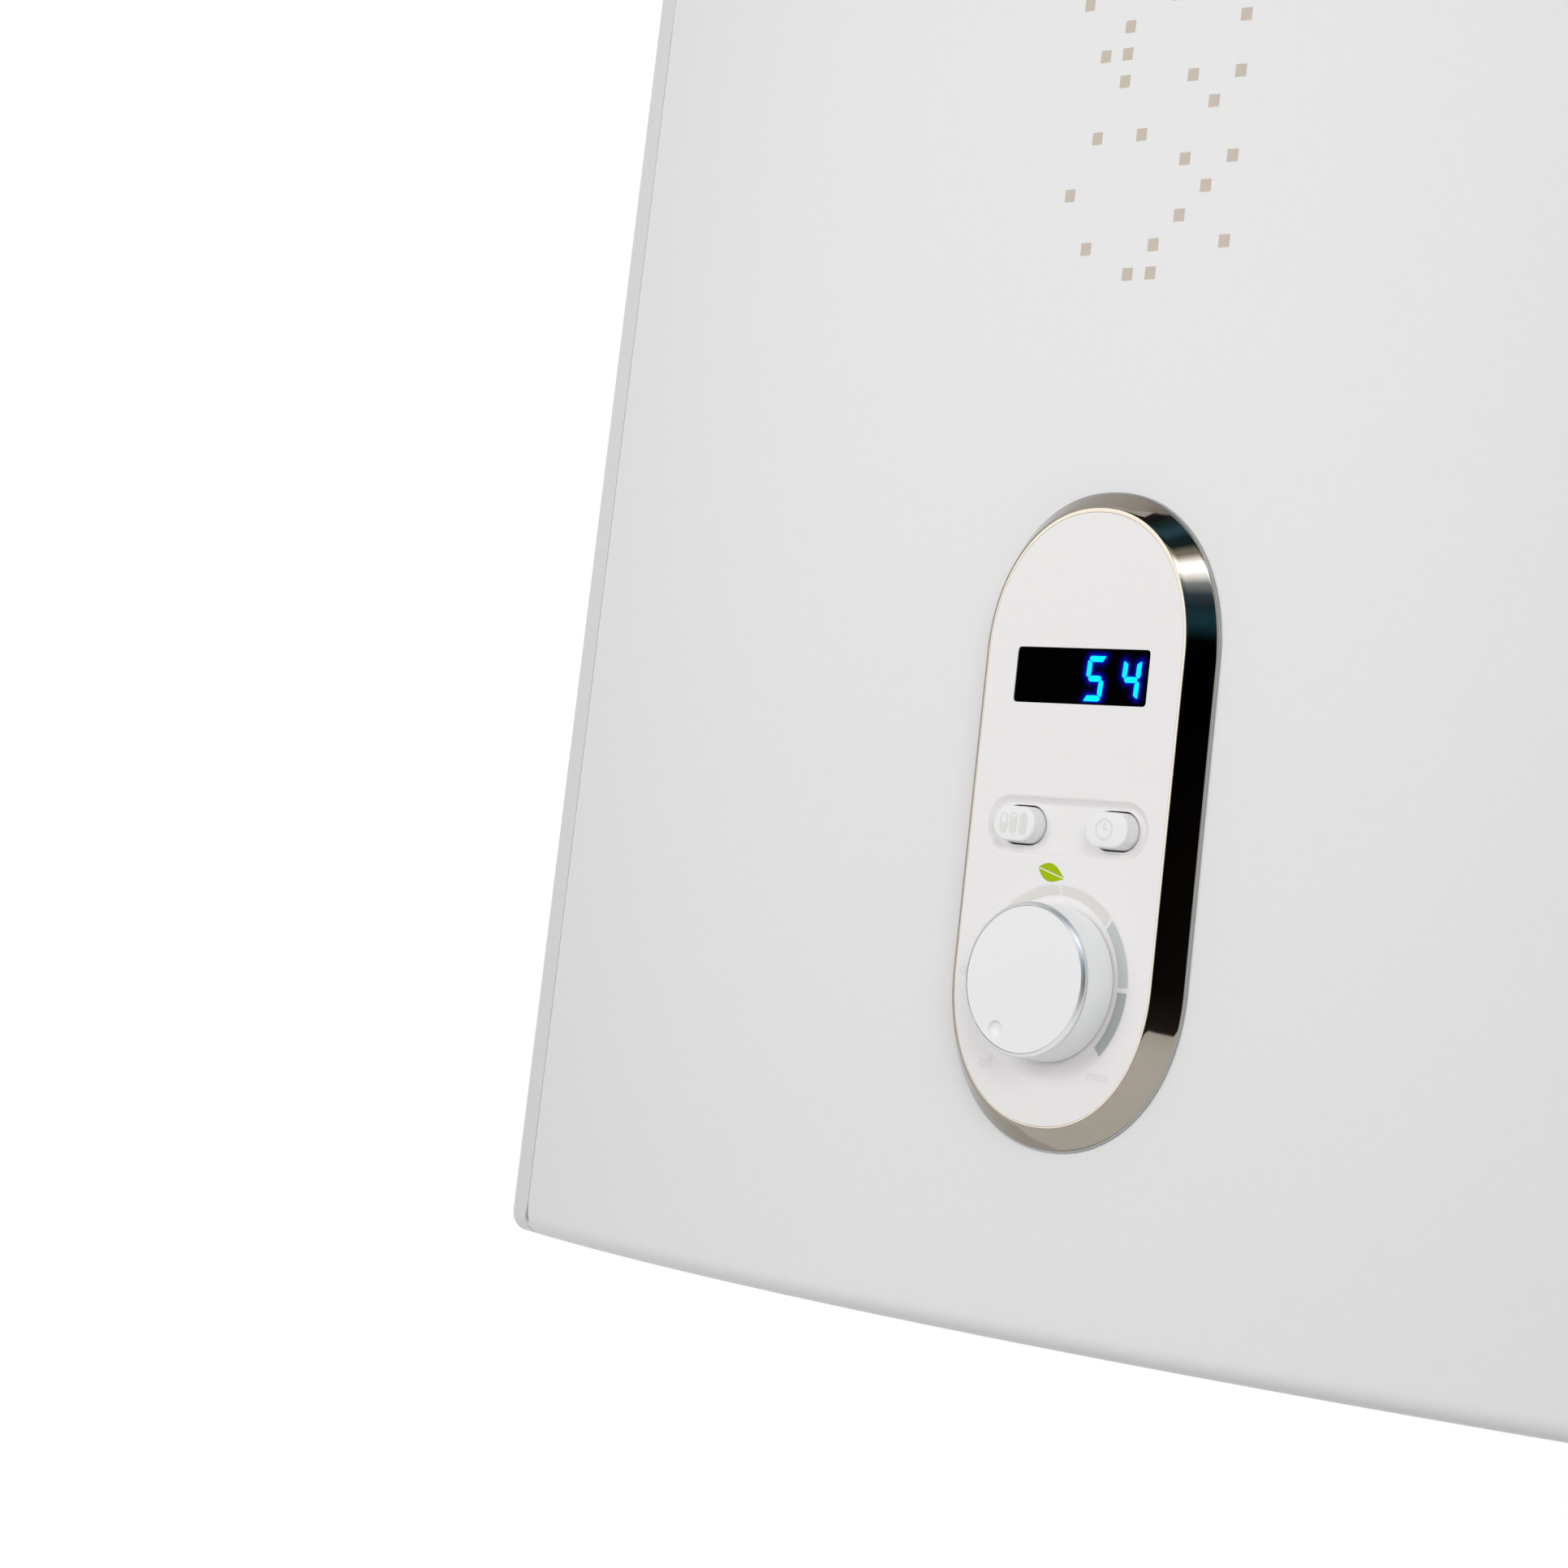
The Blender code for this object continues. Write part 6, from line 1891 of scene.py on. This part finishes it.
@dataclass
class PanelPrint:
    """The signs printed on the face plate round the knob."""

    film: float = 0.00003
    arc_inner: float = 0.0222
    arc_outer: float = 0.0244
    arc_swell: float = 0.0014
    arc_film: float = 0.00006
    arc_steps: int = 32
    arc_shares: tuple[float, ...] = (0.0, 0.5, 1.0)
    # The arcs grow darker towards the lower right: four in the palest grey, then one mid grey and
    # one deep grey
    inks: tuple[int, ...] = (0, 0, 0, 0, 1, 2)
    start_turn: float = 225.0
    sweep: float = 270.0
    slit: float = 1.6
    leaf_centre: Point = (-0.0032, -0.0148)
    leaf_turn: float = -16.0
    leaf_length: float = 0.0090
    leaf_half_width: float = 0.00215
    leaf_rib: float = 0.00016
    leaf_lean: float = 0.85
    leaf_point: float = 1.15
    leaf_steps: int = 24
    words: tuple[tuple[str, float, float], ...] = (
        ("off", -0.0181, -0.0637),
        ("max", 0.0180, -0.0638),
    )
    word_size: float = 0.0042
    word_steps: int = 3
    ring_spot: Point = (-0.0289, -0.0414)
    ring_radii: tuple[float, float] = (0.0011, 0.0008)
    ring_steps: int = 32

    def make(self, plate: FacePlate) -> None:
        """Make the arcs, the leaf and the small signs.

        Args:
            plate: the plate that they are printed on.
        """
        self.make_arcs(plate)
        self.make_leaf(plate)
        self.make_small_signs(plate)

    def make_arcs(self, plate: FacePlate) -> None:
        """The grey arcs of the scale on the wall of the dish.

        Args:
            plate: the plate with the dish.
        """
        work = bmesh.new()
        each = self.sweep / len(self.inks)
        for number, ink in enumerate(self.inks):
            first = self.start_turn - number * each - self.slit
            last = self.start_turn - (number + 1) * each + self.slit
            rings = []
            for step in range(self.arc_steps + 1):
                turn = math.radians(first + (last - first) * step / self.arc_steps)
                ring = []
                inner = self.arc_inner - self.arc_swell * max(0.0, math.cos(turn))
                for share in self.arc_shares:
                    radius = inner + (self.arc_outer - inner) * share
                    x, y = radius * math.cos(turn), radius * math.sin(turn)
                    height = plate.dish_height(radius) + self.arc_film
                    ring.append(Vector((x, y - plate.knob_drop, height)))
                rings.append(ring)
            add_loft(work, rings, closed=False, materials=[ink] * self.arc_steps)
        make_print("knob_scale_arcs", work, SCALE_INKS)

    def make_leaf(self, plate: FacePlate) -> None:
        """A plain leaf in two halves beside its midrib, for the saving mode.

        Args:
            plate: the plate that it is printed on.
        """
        work = bmesh.new()
        centre, turned = Vector(self.leaf_centre), Matrix.Rotation(math.radians(self.leaf_turn), 2)
        shares = [step / self.leaf_steps for step in range(self.leaf_steps + 1)]
        for side in (1, -1):
            half = []
            for t in shares:
                swell = math.sin(math.pi * t**self.leaf_lean) ** self.leaf_point
                half.append((t, side * (self.leaf_rib + self.leaf_half_width * swell)))
            half += [(t, side * self.leaf_rib) for t in shares[-2:0:-1]]
            points = []
            for t, y in half:
                point = centre + turned @ Vector(((t - 0.5) * self.leaf_length, y))
                points.append(tuple(point))
            add_fill(work, [points], plate.top + self.film)
        make_print("saving_mode_leaf", work, [GREEN_INK])

    def make_small_signs(self, plate: FacePlate) -> None:
        """The faint words at both ends of the scale, and a small ring beside the knob.

        Args:
            plate: the plate that they are printed on.
        """
        height = plate.top + self.film
        for word, x, y in self.words:
            name = f"{word}_word"
            curve = bpy.data.curves.new(name, "FONT")
            curve.body = word
            curve.size = self.word_size
            curve.align_x = "CENTER"
            curve.align_y = "CENTER"
            curve.resolution_u = self.word_steps
            mesh = settle(curve)
            work = bmesh.new()
            work.from_mesh(mesh)
            bpy.data.meshes.remove(mesh)
            bmesh.ops.translate(work, vec=(x, y, height), verts=work.verts)
            make_print(name, work, [FAINT_INK])
        work = bmesh.new()
        rings = [circle(radius, self.ring_spot, self.ring_steps) for radius in self.ring_radii]
        add_fill(work, rings, height)
        make_print("small_ring_sign", work, [FAINT_INK])


# What comes out of the underside, and what is inside


@dataclass
class Connections:
    """The threaded water pipes with their marking rings, and the cable gland."""

    pipe_x: float = 0.050
    pipe_y: float = -0.1027
    pipe_radius: float = 0.0105
    pipe_sharp: float = 30.0
    bore: float = 0.0075
    foot: float = -0.7140
    thread_top: float = -0.7015
    thread_run_out: float = 0.0006
    thread_depth: float = 0.0010
    thread_start: float = 0.3
    pitch: float = 0.001814
    steps: int = 48
    rows_per_turn: int = 6
    gland_y: float = -0.046
    gland_seat: float = -0.6966
    gland_bore: float = 0.0048
    stem_radius: float = 0.0095
    flange_radius: float = 0.0130
    flange_tall: float = 0.0045
    flange_edge: float = 0.0004
    # The cap's rings as (radius, drop, flute depth): from its collar, its middle and its foot
    cap_collar: tuple[tuple[float, float, float], ...] = (
        (0.0115, 0.0, 0.0),
        (0.0115, 0.0012, 0.0008),
    )
    cap_middle: tuple[tuple[float, float, float], ...] = (
        (0.0115, 0.0, 0.0008),
        (0.0106, 0.0030, 0.0004),
    )
    cap_foot: tuple[tuple[float, float, float], ...] = ((0.0090, -0.0010, 0.0), (0.0081, 0.0, 0.0))
    flutes: int = 10
    steps_per_flute: int = 10
    gland_sharp: float = 40.0

    def make(self) -> None:
        """Make both pipes and the gland, and dress the rings."""
        for node, side in (("cold_inlet_pipe", -1), ("hot_outlet_pipe", 1)):
            self.make_pipe(node, side)
        dress(COLD_RING, "cold_marking_ring")
        dress(HOT_RING, "hot_marking_ring")
        dress(POLYAMIDE, "gland_nut", "inlet_diffuser")
        self.make_gland()

    def thread_radius(self, height: float, share: float) -> float:
        """How far the cut thread reaches out at a point.

        Args:
            height: the point's height.
            share: how far round the pipe it lies, from 0 to 1.

        Returns:
            The radius there.
        """
        turns = (height - self.foot) / self.pitch
        crest = 1 - abs(2 * ((turns - share) % 1.0) - 1)
        fade = min(1.0, turns + self.thread_start, (self.thread_top - height) / self.pitch)
        return self.pipe_radius - self.thread_depth * (1 - crest * max(0.0, fade))

    def pipe_ring(self, side: int, height: float, radius: float | None = None) -> Ring:
        """Points round a pipe.

        Args:
            side: -1 for the left pipe and 1 for the right one.
            height: how high they lie.
            radius: how far out they lie, or None along the thread.

        Returns:
            The points in order.
        """
        ring = []
        for share in (step / self.steps for step in range(self.steps)):
            reach = self.thread_radius(height, share) if radius is None else radius
            x, y = reach * math.cos(math.tau * share), reach * math.sin(math.tau * share)
            ring.append(Vector((side * self.pipe_x + x, self.pipe_y + y, height)))
        return ring

    def make_pipe(self, node: str, side: int) -> None:
        """A pipe whose foot carries a cut thread.

        Args:
            node: the CAD pipe that it stands for.
            side: -1 for the left pipe and 1 for the right one.
        """
        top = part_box(node)[1].z
        root, tall = self.pipe_radius - self.thread_depth, self.thread_top - self.foot
        count = round(tall / self.pitch * self.rows_per_turn)
        plain = [(self.thread_top, root), (self.thread_top + self.thread_run_out, self.pipe_radius)]
        plain += [(top, self.pipe_radius), (top, self.bore)]
        rings = [self.pipe_ring(side, self.foot, radius) for radius in (self.bore, root)]
        rings += [self.pipe_ring(side, self.foot + tall * i / count) for i in range(1, count)]
        rings += [self.pipe_ring(side, height, radius) for height, radius in plain]
        work = bmesh.new()
        add_loft(work, rings, looped=True)
        make_piece(
            f"{node}_threaded",
            work,
            [PIPE_STEEL],
            sharp=self.pipe_sharp,
            stands_for=(node, "stainless_pipe"),
        )

    def gland_ring(self, radius: float, height: float, depth: float = 0.0) -> Ring:
        """Points round the gland.

        Args:
            radius: how far out they lie.
            height: how high they lie.
            depth: how deep the flutes cut in.

        Returns:
            The points in order.
        """
        ring = []
        count = self.flutes * self.steps_per_flute
        for turn in (math.tau * step / count for step in range(count)):
            reach = radius - depth * max(0.0, math.cos(turn * self.flutes)) ** 2
            y = self.gland_y + reach * math.sin(turn)
            ring.append(Vector((reach * math.cos(turn), y, height)))
        return ring

    def make_gland(self) -> None:
        """The cable gland, whose cap has grip flutes."""
        low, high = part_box("cable_gland")
        collar = self.gland_seat - self.flange_tall
        rows = [
            (self.gland_bore, high.z, 0.0),
            (self.stem_radius, high.z, 0.0),
            (self.stem_radius, self.gland_seat, 0.0),
            (self.flange_radius, self.gland_seat, 0.0),
            (self.flange_radius, collar + self.flange_edge, 0.0),
            (self.flange_radius - self.flange_edge, collar, 0.0),
        ]
        stretches = (
            (self.cap_collar, collar),
            (self.cap_middle, (collar + low.z) / 2),
            (self.cap_foot, low.z),
        )
        for points, start in stretches:
            rows += [(radius, start - drop, depth) for radius, drop, depth in points]
        rows.append((self.gland_bore, low.z, 0.0))
        work = bmesh.new()
        add_loft(work, [self.gland_ring(*row) for row in rows], looped=True)
        make_piece(
            "cable_gland_fluted",
            work,
            [POLYAMIDE],
            sharp=self.gland_sharp,
            stands_for=("cable_gland", "nylon_grey"),
        )


class Inside:
    """Every piece inside the casing keeps its CAD shape and gets its real material."""

    TANK_SET = {
        "tank": TANK_STEEL,
        "flange": GALVANISED,
        "flange_gasket": SEAL,
        "heating_element": COPPER,
        "anode": MAGNESIUM,
        "sensor_pocket": PIPE_STEEL,
        "flange_bolt_1": ZINC,
        "flange_bolt_2": ZINC,
        "flange_bolt_3": ZINC,
    }

    def dress(self) -> None:
        """Dress the two tank sets and the electrical parts."""
        for side in ("left", "right"):
            for name, finish in self.TANK_SET.items():
                dress(finish, f"{side}_{name}")
        dress(PIPE_STEEL, "transfer_pipe")
        dress(FOAM, "foam_insulation")
        dress(GALVANISED, "board_carrier")
        dress(BOARD, "power_board", "control_board")
        dress(POLYAMIDE, "terminal_block")
        dress(PHENOLIC, "safety_cutout", "display_module", "encoder_body")
        dress(RESET_RED, "reset_button")
        dress(BRASS, "temperature_probe")
        dress(ZINC, "encoder_shaft")
        dress(TUB, "panel_housing")
        dress(LEAD_PVC, "control_cable")


# The studio


@dataclass(frozen=True)
class Lamp:
    """One square softbox of the studio."""

    name: str
    place: tuple[float, float, float]
    size: float
    power: float


@dataclass
class Studio:
    """A pale floor, soft lights and the camera at the photograph's angle."""

    floor_z: float = -1.90
    floor_half: float = 9.0
    floor_glow: float = 0.70
    floor_colours: tuple[str, str] = ("F4F4F3", "F1F1F0")
    floor_grain: float = 3.0
    floor_roughness: float = 0.9
    floor_specular: float = 0.1
    world_colour: str = "FFFFFF"
    world_level: float = 0.43
    sensor: float = 36.0
    lens: float = 86.752
    clip: tuple[float, float] = (0.05, 60.0)
    shift: tuple[float, float] = (0.02035, -0.23692)
    eye: tuple[float, float, float] = (0.60795, -1.03939, -0.61957)
    right: tuple[float, float, float] = (0.72028846, 0.68392604, 0.11588657)
    down: tuple[float, float, float] = (-0.0202962, 0.18776904, -0.98200349)
    ahead: tuple[float, float, float] = (-0.69337767, 0.70497373, 0.14912898)
    target: tuple[float, float, float] = (0.0, -0.27, -0.45)
    lamps: tuple[Lamp, ...] = (
        Lamp("key_softbox", (2.0, -2.2, 0.6), 1.4, 25.5),
        Lamp("fill_softbox", (-0.26, -0.98, -0.36), 0.5, 2.25),
    )
    # Directions in which the arched card stands, seen from the panel, with the colour and gain of
    # the painted reflection that it puts in the frame's mirror flank
    arch: tuple[tuple[float, float, float, str, float], ...] = (
        (0.70, -0.63, -0.33, "38322F", 1.0),
        (0.74, -0.66, -0.16, "2A2624", 1.0),
        (0.75, -0.68, 0.05, "020202", 1.0),
        (0.72, -0.72, 0.17, "050708", 1.0),
        (0.70, -0.70, 0.26, "142A32", 1.0),
        (0.66, -0.69, 0.34, "2C6072", 1.0),
        (0.60, -0.67, 0.47, "33505E", 1.0),
        (0.54, -0.64, 0.56, "56697A", 1.0),
        (0.48, -0.61, 0.65, "B8C6D0", 1.3),
        (0.43, -0.585, 0.70, "F0F6FF", 3.6),
        (0.38, -0.565, 0.745, "F0F6FF", 7.5),
        (0.33, -0.54, 0.785, "F2F6FF", 3.6),
        (0.29, -0.52, 0.81, "E0DCD6", 1.9),
        (0.25, -0.50, 0.84, "B4AEA6", 1.2),
        (0.22, -0.48, 0.86, "C6C0B8", 1.0),
        (0.185, -0.46, 0.88, "30403F", 1.0),
        (0.12, -0.43, 0.91, "2C4652", 1.0),
        (0.02, -0.38, 0.935, "4E7A92", 1.0),
        (-0.06, -0.34, 0.945, "3A5664", 1.0),
        (-0.19, -0.28, 0.94, "2A2C2C", 1.0),
        (-0.30, -0.21, 0.93, "3A3A3A", 1.0),
    )
    arch_x: float = 0.03
    arch_reach: float = 1.5
    arch_half_width: float = 1.05
    arch_columns: tuple[float, ...] = (-1.0, -0.5, 0.0, 0.5, 1.0)

    def make(self) -> None:
        """Set up camera, surroundings, floor, lamps and the glowing card that paints reflections.
        """
        bpy.context.scene.view_settings.view_transform = "Standard"
        self.make_camera()
        self.make_world()
        self.make_floor()
        for lamp in self.lamps:
            self.make_lamp(lamp)
        self.make_arch()

    def make_camera(self) -> None:
        """The camera stands where the photograph's did, right of the front and low."""
        data = bpy.data.cameras.new("camera")
        data.sensor_width = self.sensor
        data.lens = self.lens
        data.shift_x, data.shift_y = self.shift
        data.clip_start, data.clip_end = self.clip
        camera = bpy.data.objects.new("camera", data)
        bpy.context.scene.collection.objects.link(camera)
        up, back = [-c for c in self.down], [-c for c in self.ahead]
        axes = Matrix((self.right, up, back)).transposed()
        camera.matrix_world = Matrix.Translation(self.eye) @ axes.to_4x4()
        bpy.context.scene.camera = camera

    def seen(self, tree: bpy.types.NodeTree) -> bpy.types.NodeSocket:
        """Tell the rays that see the background, to the eye, in mirrors or through glass.

        Args:
            tree: the nodes of the world or of the floor's material.

        Returns:
            An output that is 1 for those rays and 0 for the others.
        """
        path = add_node(tree, "ShaderNodeLightPath").outputs
        found = path["Is Camera Ray"]
        for name in ("Is Glossy Ray", "Is Transmission Ray"):
            both = {0: found, 1: path[name]}
            found = add_node(tree, "ShaderNodeMath", both, operation="MAXIMUM").outputs[0]
        return found

    def make_world(self) -> None:
        """White surroundings: full white to the eye and in mirrors, softer as a light."""
        world = bpy.data.worlds.new("white_studio")
        bpy.context.scene.world = world
        world.use_nodes = True
        tree = world.node_tree
        span = {"Value": self.seen(tree), "To Min": self.world_level, "To Max": 1.0}
        level = add_node(tree, "ShaderNodeMapRange", span).outputs[0]
        background = tree.nodes["Background"]
        fill_sockets(background, {"Color": linear(self.world_colour), "Strength": level})

    def stage(
        self, name: str, work: bmesh.types.BMesh, surface: bpy.types.Material
    ) -> bpy.types.Object:
        """Put a piece of the studio on the stage.

        Args:
            name: its name.
            work: its mesh, which is freed here.
            surface: its material.

        Returns:
            The object.
        """
        mesh = bpy.data.meshes.new(name)
        work.to_mesh(mesh)
        work.free()
        mesh.materials.append(surface)
        piece = bpy.data.objects.new(name, mesh)
        bpy.context.scene.collection.objects.link(piece)
        return piece

    def make_floor(self) -> None:
        """A pale floor well below the heater, which keeps its shadow."""
        half = self.floor_half
        work = bmesh.new()
        add_face(work, [(-half, -half), (half, -half), (half, half), (-half, half)], self.floor_z)
        material, shader = start_material("pale_studio_floor")
        tree = material.node_tree
        place = add_node(tree, "ShaderNodeTexCoord").outputs["Object"]
        noise = add_node(tree, "ShaderNodeTexNoise", {"Vector": place, "Scale": self.floor_grain})
        colour, shade = self.floor_colours
        between = {"Factor": noise.outputs[0], MIX_A: linear(colour), MIX_B: linear(shade)}
        mixed = add_node(tree, "ShaderNodeMix", between, data_type="RGBA")
        shown = {0: self.seen(tree), 1: self.floor_glow}
        glow = add_node(tree, "ShaderNodeMath", shown, operation="MULTIPLY")
        sockets = {
            "Base Color": mixed.outputs[MIX_RESULT],
            "Roughness": self.floor_roughness,
            "Specular IOR Level": self.floor_specular,
            "Emission Color": linear(self.world_colour),
            "Emission Strength": glow.outputs[0],
        }
        fill_sockets(shader, sockets)
        self.stage("floor", work, material)

    def make_lamp(self, lamp: Lamp) -> None:
        """Hang a softbox that faces the front, and that neither eye nor mirrors see.

        Args:
            lamp: which one.
        """
        data = bpy.data.lights.new(lamp.name, "AREA")
        data.size = lamp.size
        data.energy = lamp.power
        holder = bpy.data.objects.new(lamp.name, data)
        bpy.context.scene.collection.objects.link(holder)
        holder.location = lamp.place
        aim = Vector(self.target) - Vector(lamp.place)
        holder.rotation_euler = aim.to_track_quat("-Z", "Y").to_euler()
        holder.visible_camera = False
        holder.visible_glossy = False

    def make_arch(self) -> None:
        """An arched card that glows by itself, dark with a light slit, and only in mirrors: its
        colours are painted reflections and a painted highlight for the plated frame's flank.
        """
        centre = Vector((self.arch_x, CROWN_Y, PANEL_Z))
        spots = [Vector(row[:3]).normalized() for row in self.arch]
        rows, colours = [], []
        for number, (*_, colour, gain) in enumerate(self.arch):
            spot = spots[number]
            after, before = spots[min(number + 1, len(spots) - 1)], spots[max(number - 1, 0)]
            across = spot.cross(after - before).normalized() * self.arch_half_width
            middle = centre + spot * self.arch_reach
            rows.append([middle + across * share for share in self.arch_columns])
            red, green, blue, _ = linear(colour)
            shown = (red * gain, green * gain, blue * gain, 1.0)
            colours += shown * len(self.arch_columns)
        work = bmesh.new()
        add_loft(work, rows, closed=False)
        material, shader = start_material("painted_reflection_glow")
        shown = add_node(material.node_tree, "ShaderNodeAttribute", attribute_name="shown")
        sockets = {
            "Base Color": linear("000000"),
            "Specular IOR Level": 0.0,
            "Emission Color": shown.outputs["Color"],
            "Emission Strength": 1.0,
        }
        fill_sockets(shader, sockets)
        flag = self.stage("arched_reflection_card", work, material)
        layer = flag.data.attributes.new("shown", "FLOAT_COLOR", "POINT")
        layer.data.foreach_set("color", colours)
        flag.visible_camera = False
        flag.visible_diffuse = False
        flag.visible_shadow = False


def main() -> None:
    """Build the pieces from the outside in, then the studio."""
    logging.basicConfig(level=logging.INFO, format="%(name)s: %(message)s")
    casing = Casing()
    casing.make_front()
    casing.make_sides()
    casing.dress_plates()
    FrontPrint().make(casing)
    Connections().make()
    plate = FacePlate()
    Bezel().make(casing)
    plate.make()
    Display().make(plate)
    Keys().make(plate)
    Knob().make(plate)
    PanelPrint().make(plate)
    Inside().dress()
    Studio().make()


if __name__ == "__main__":
    main()
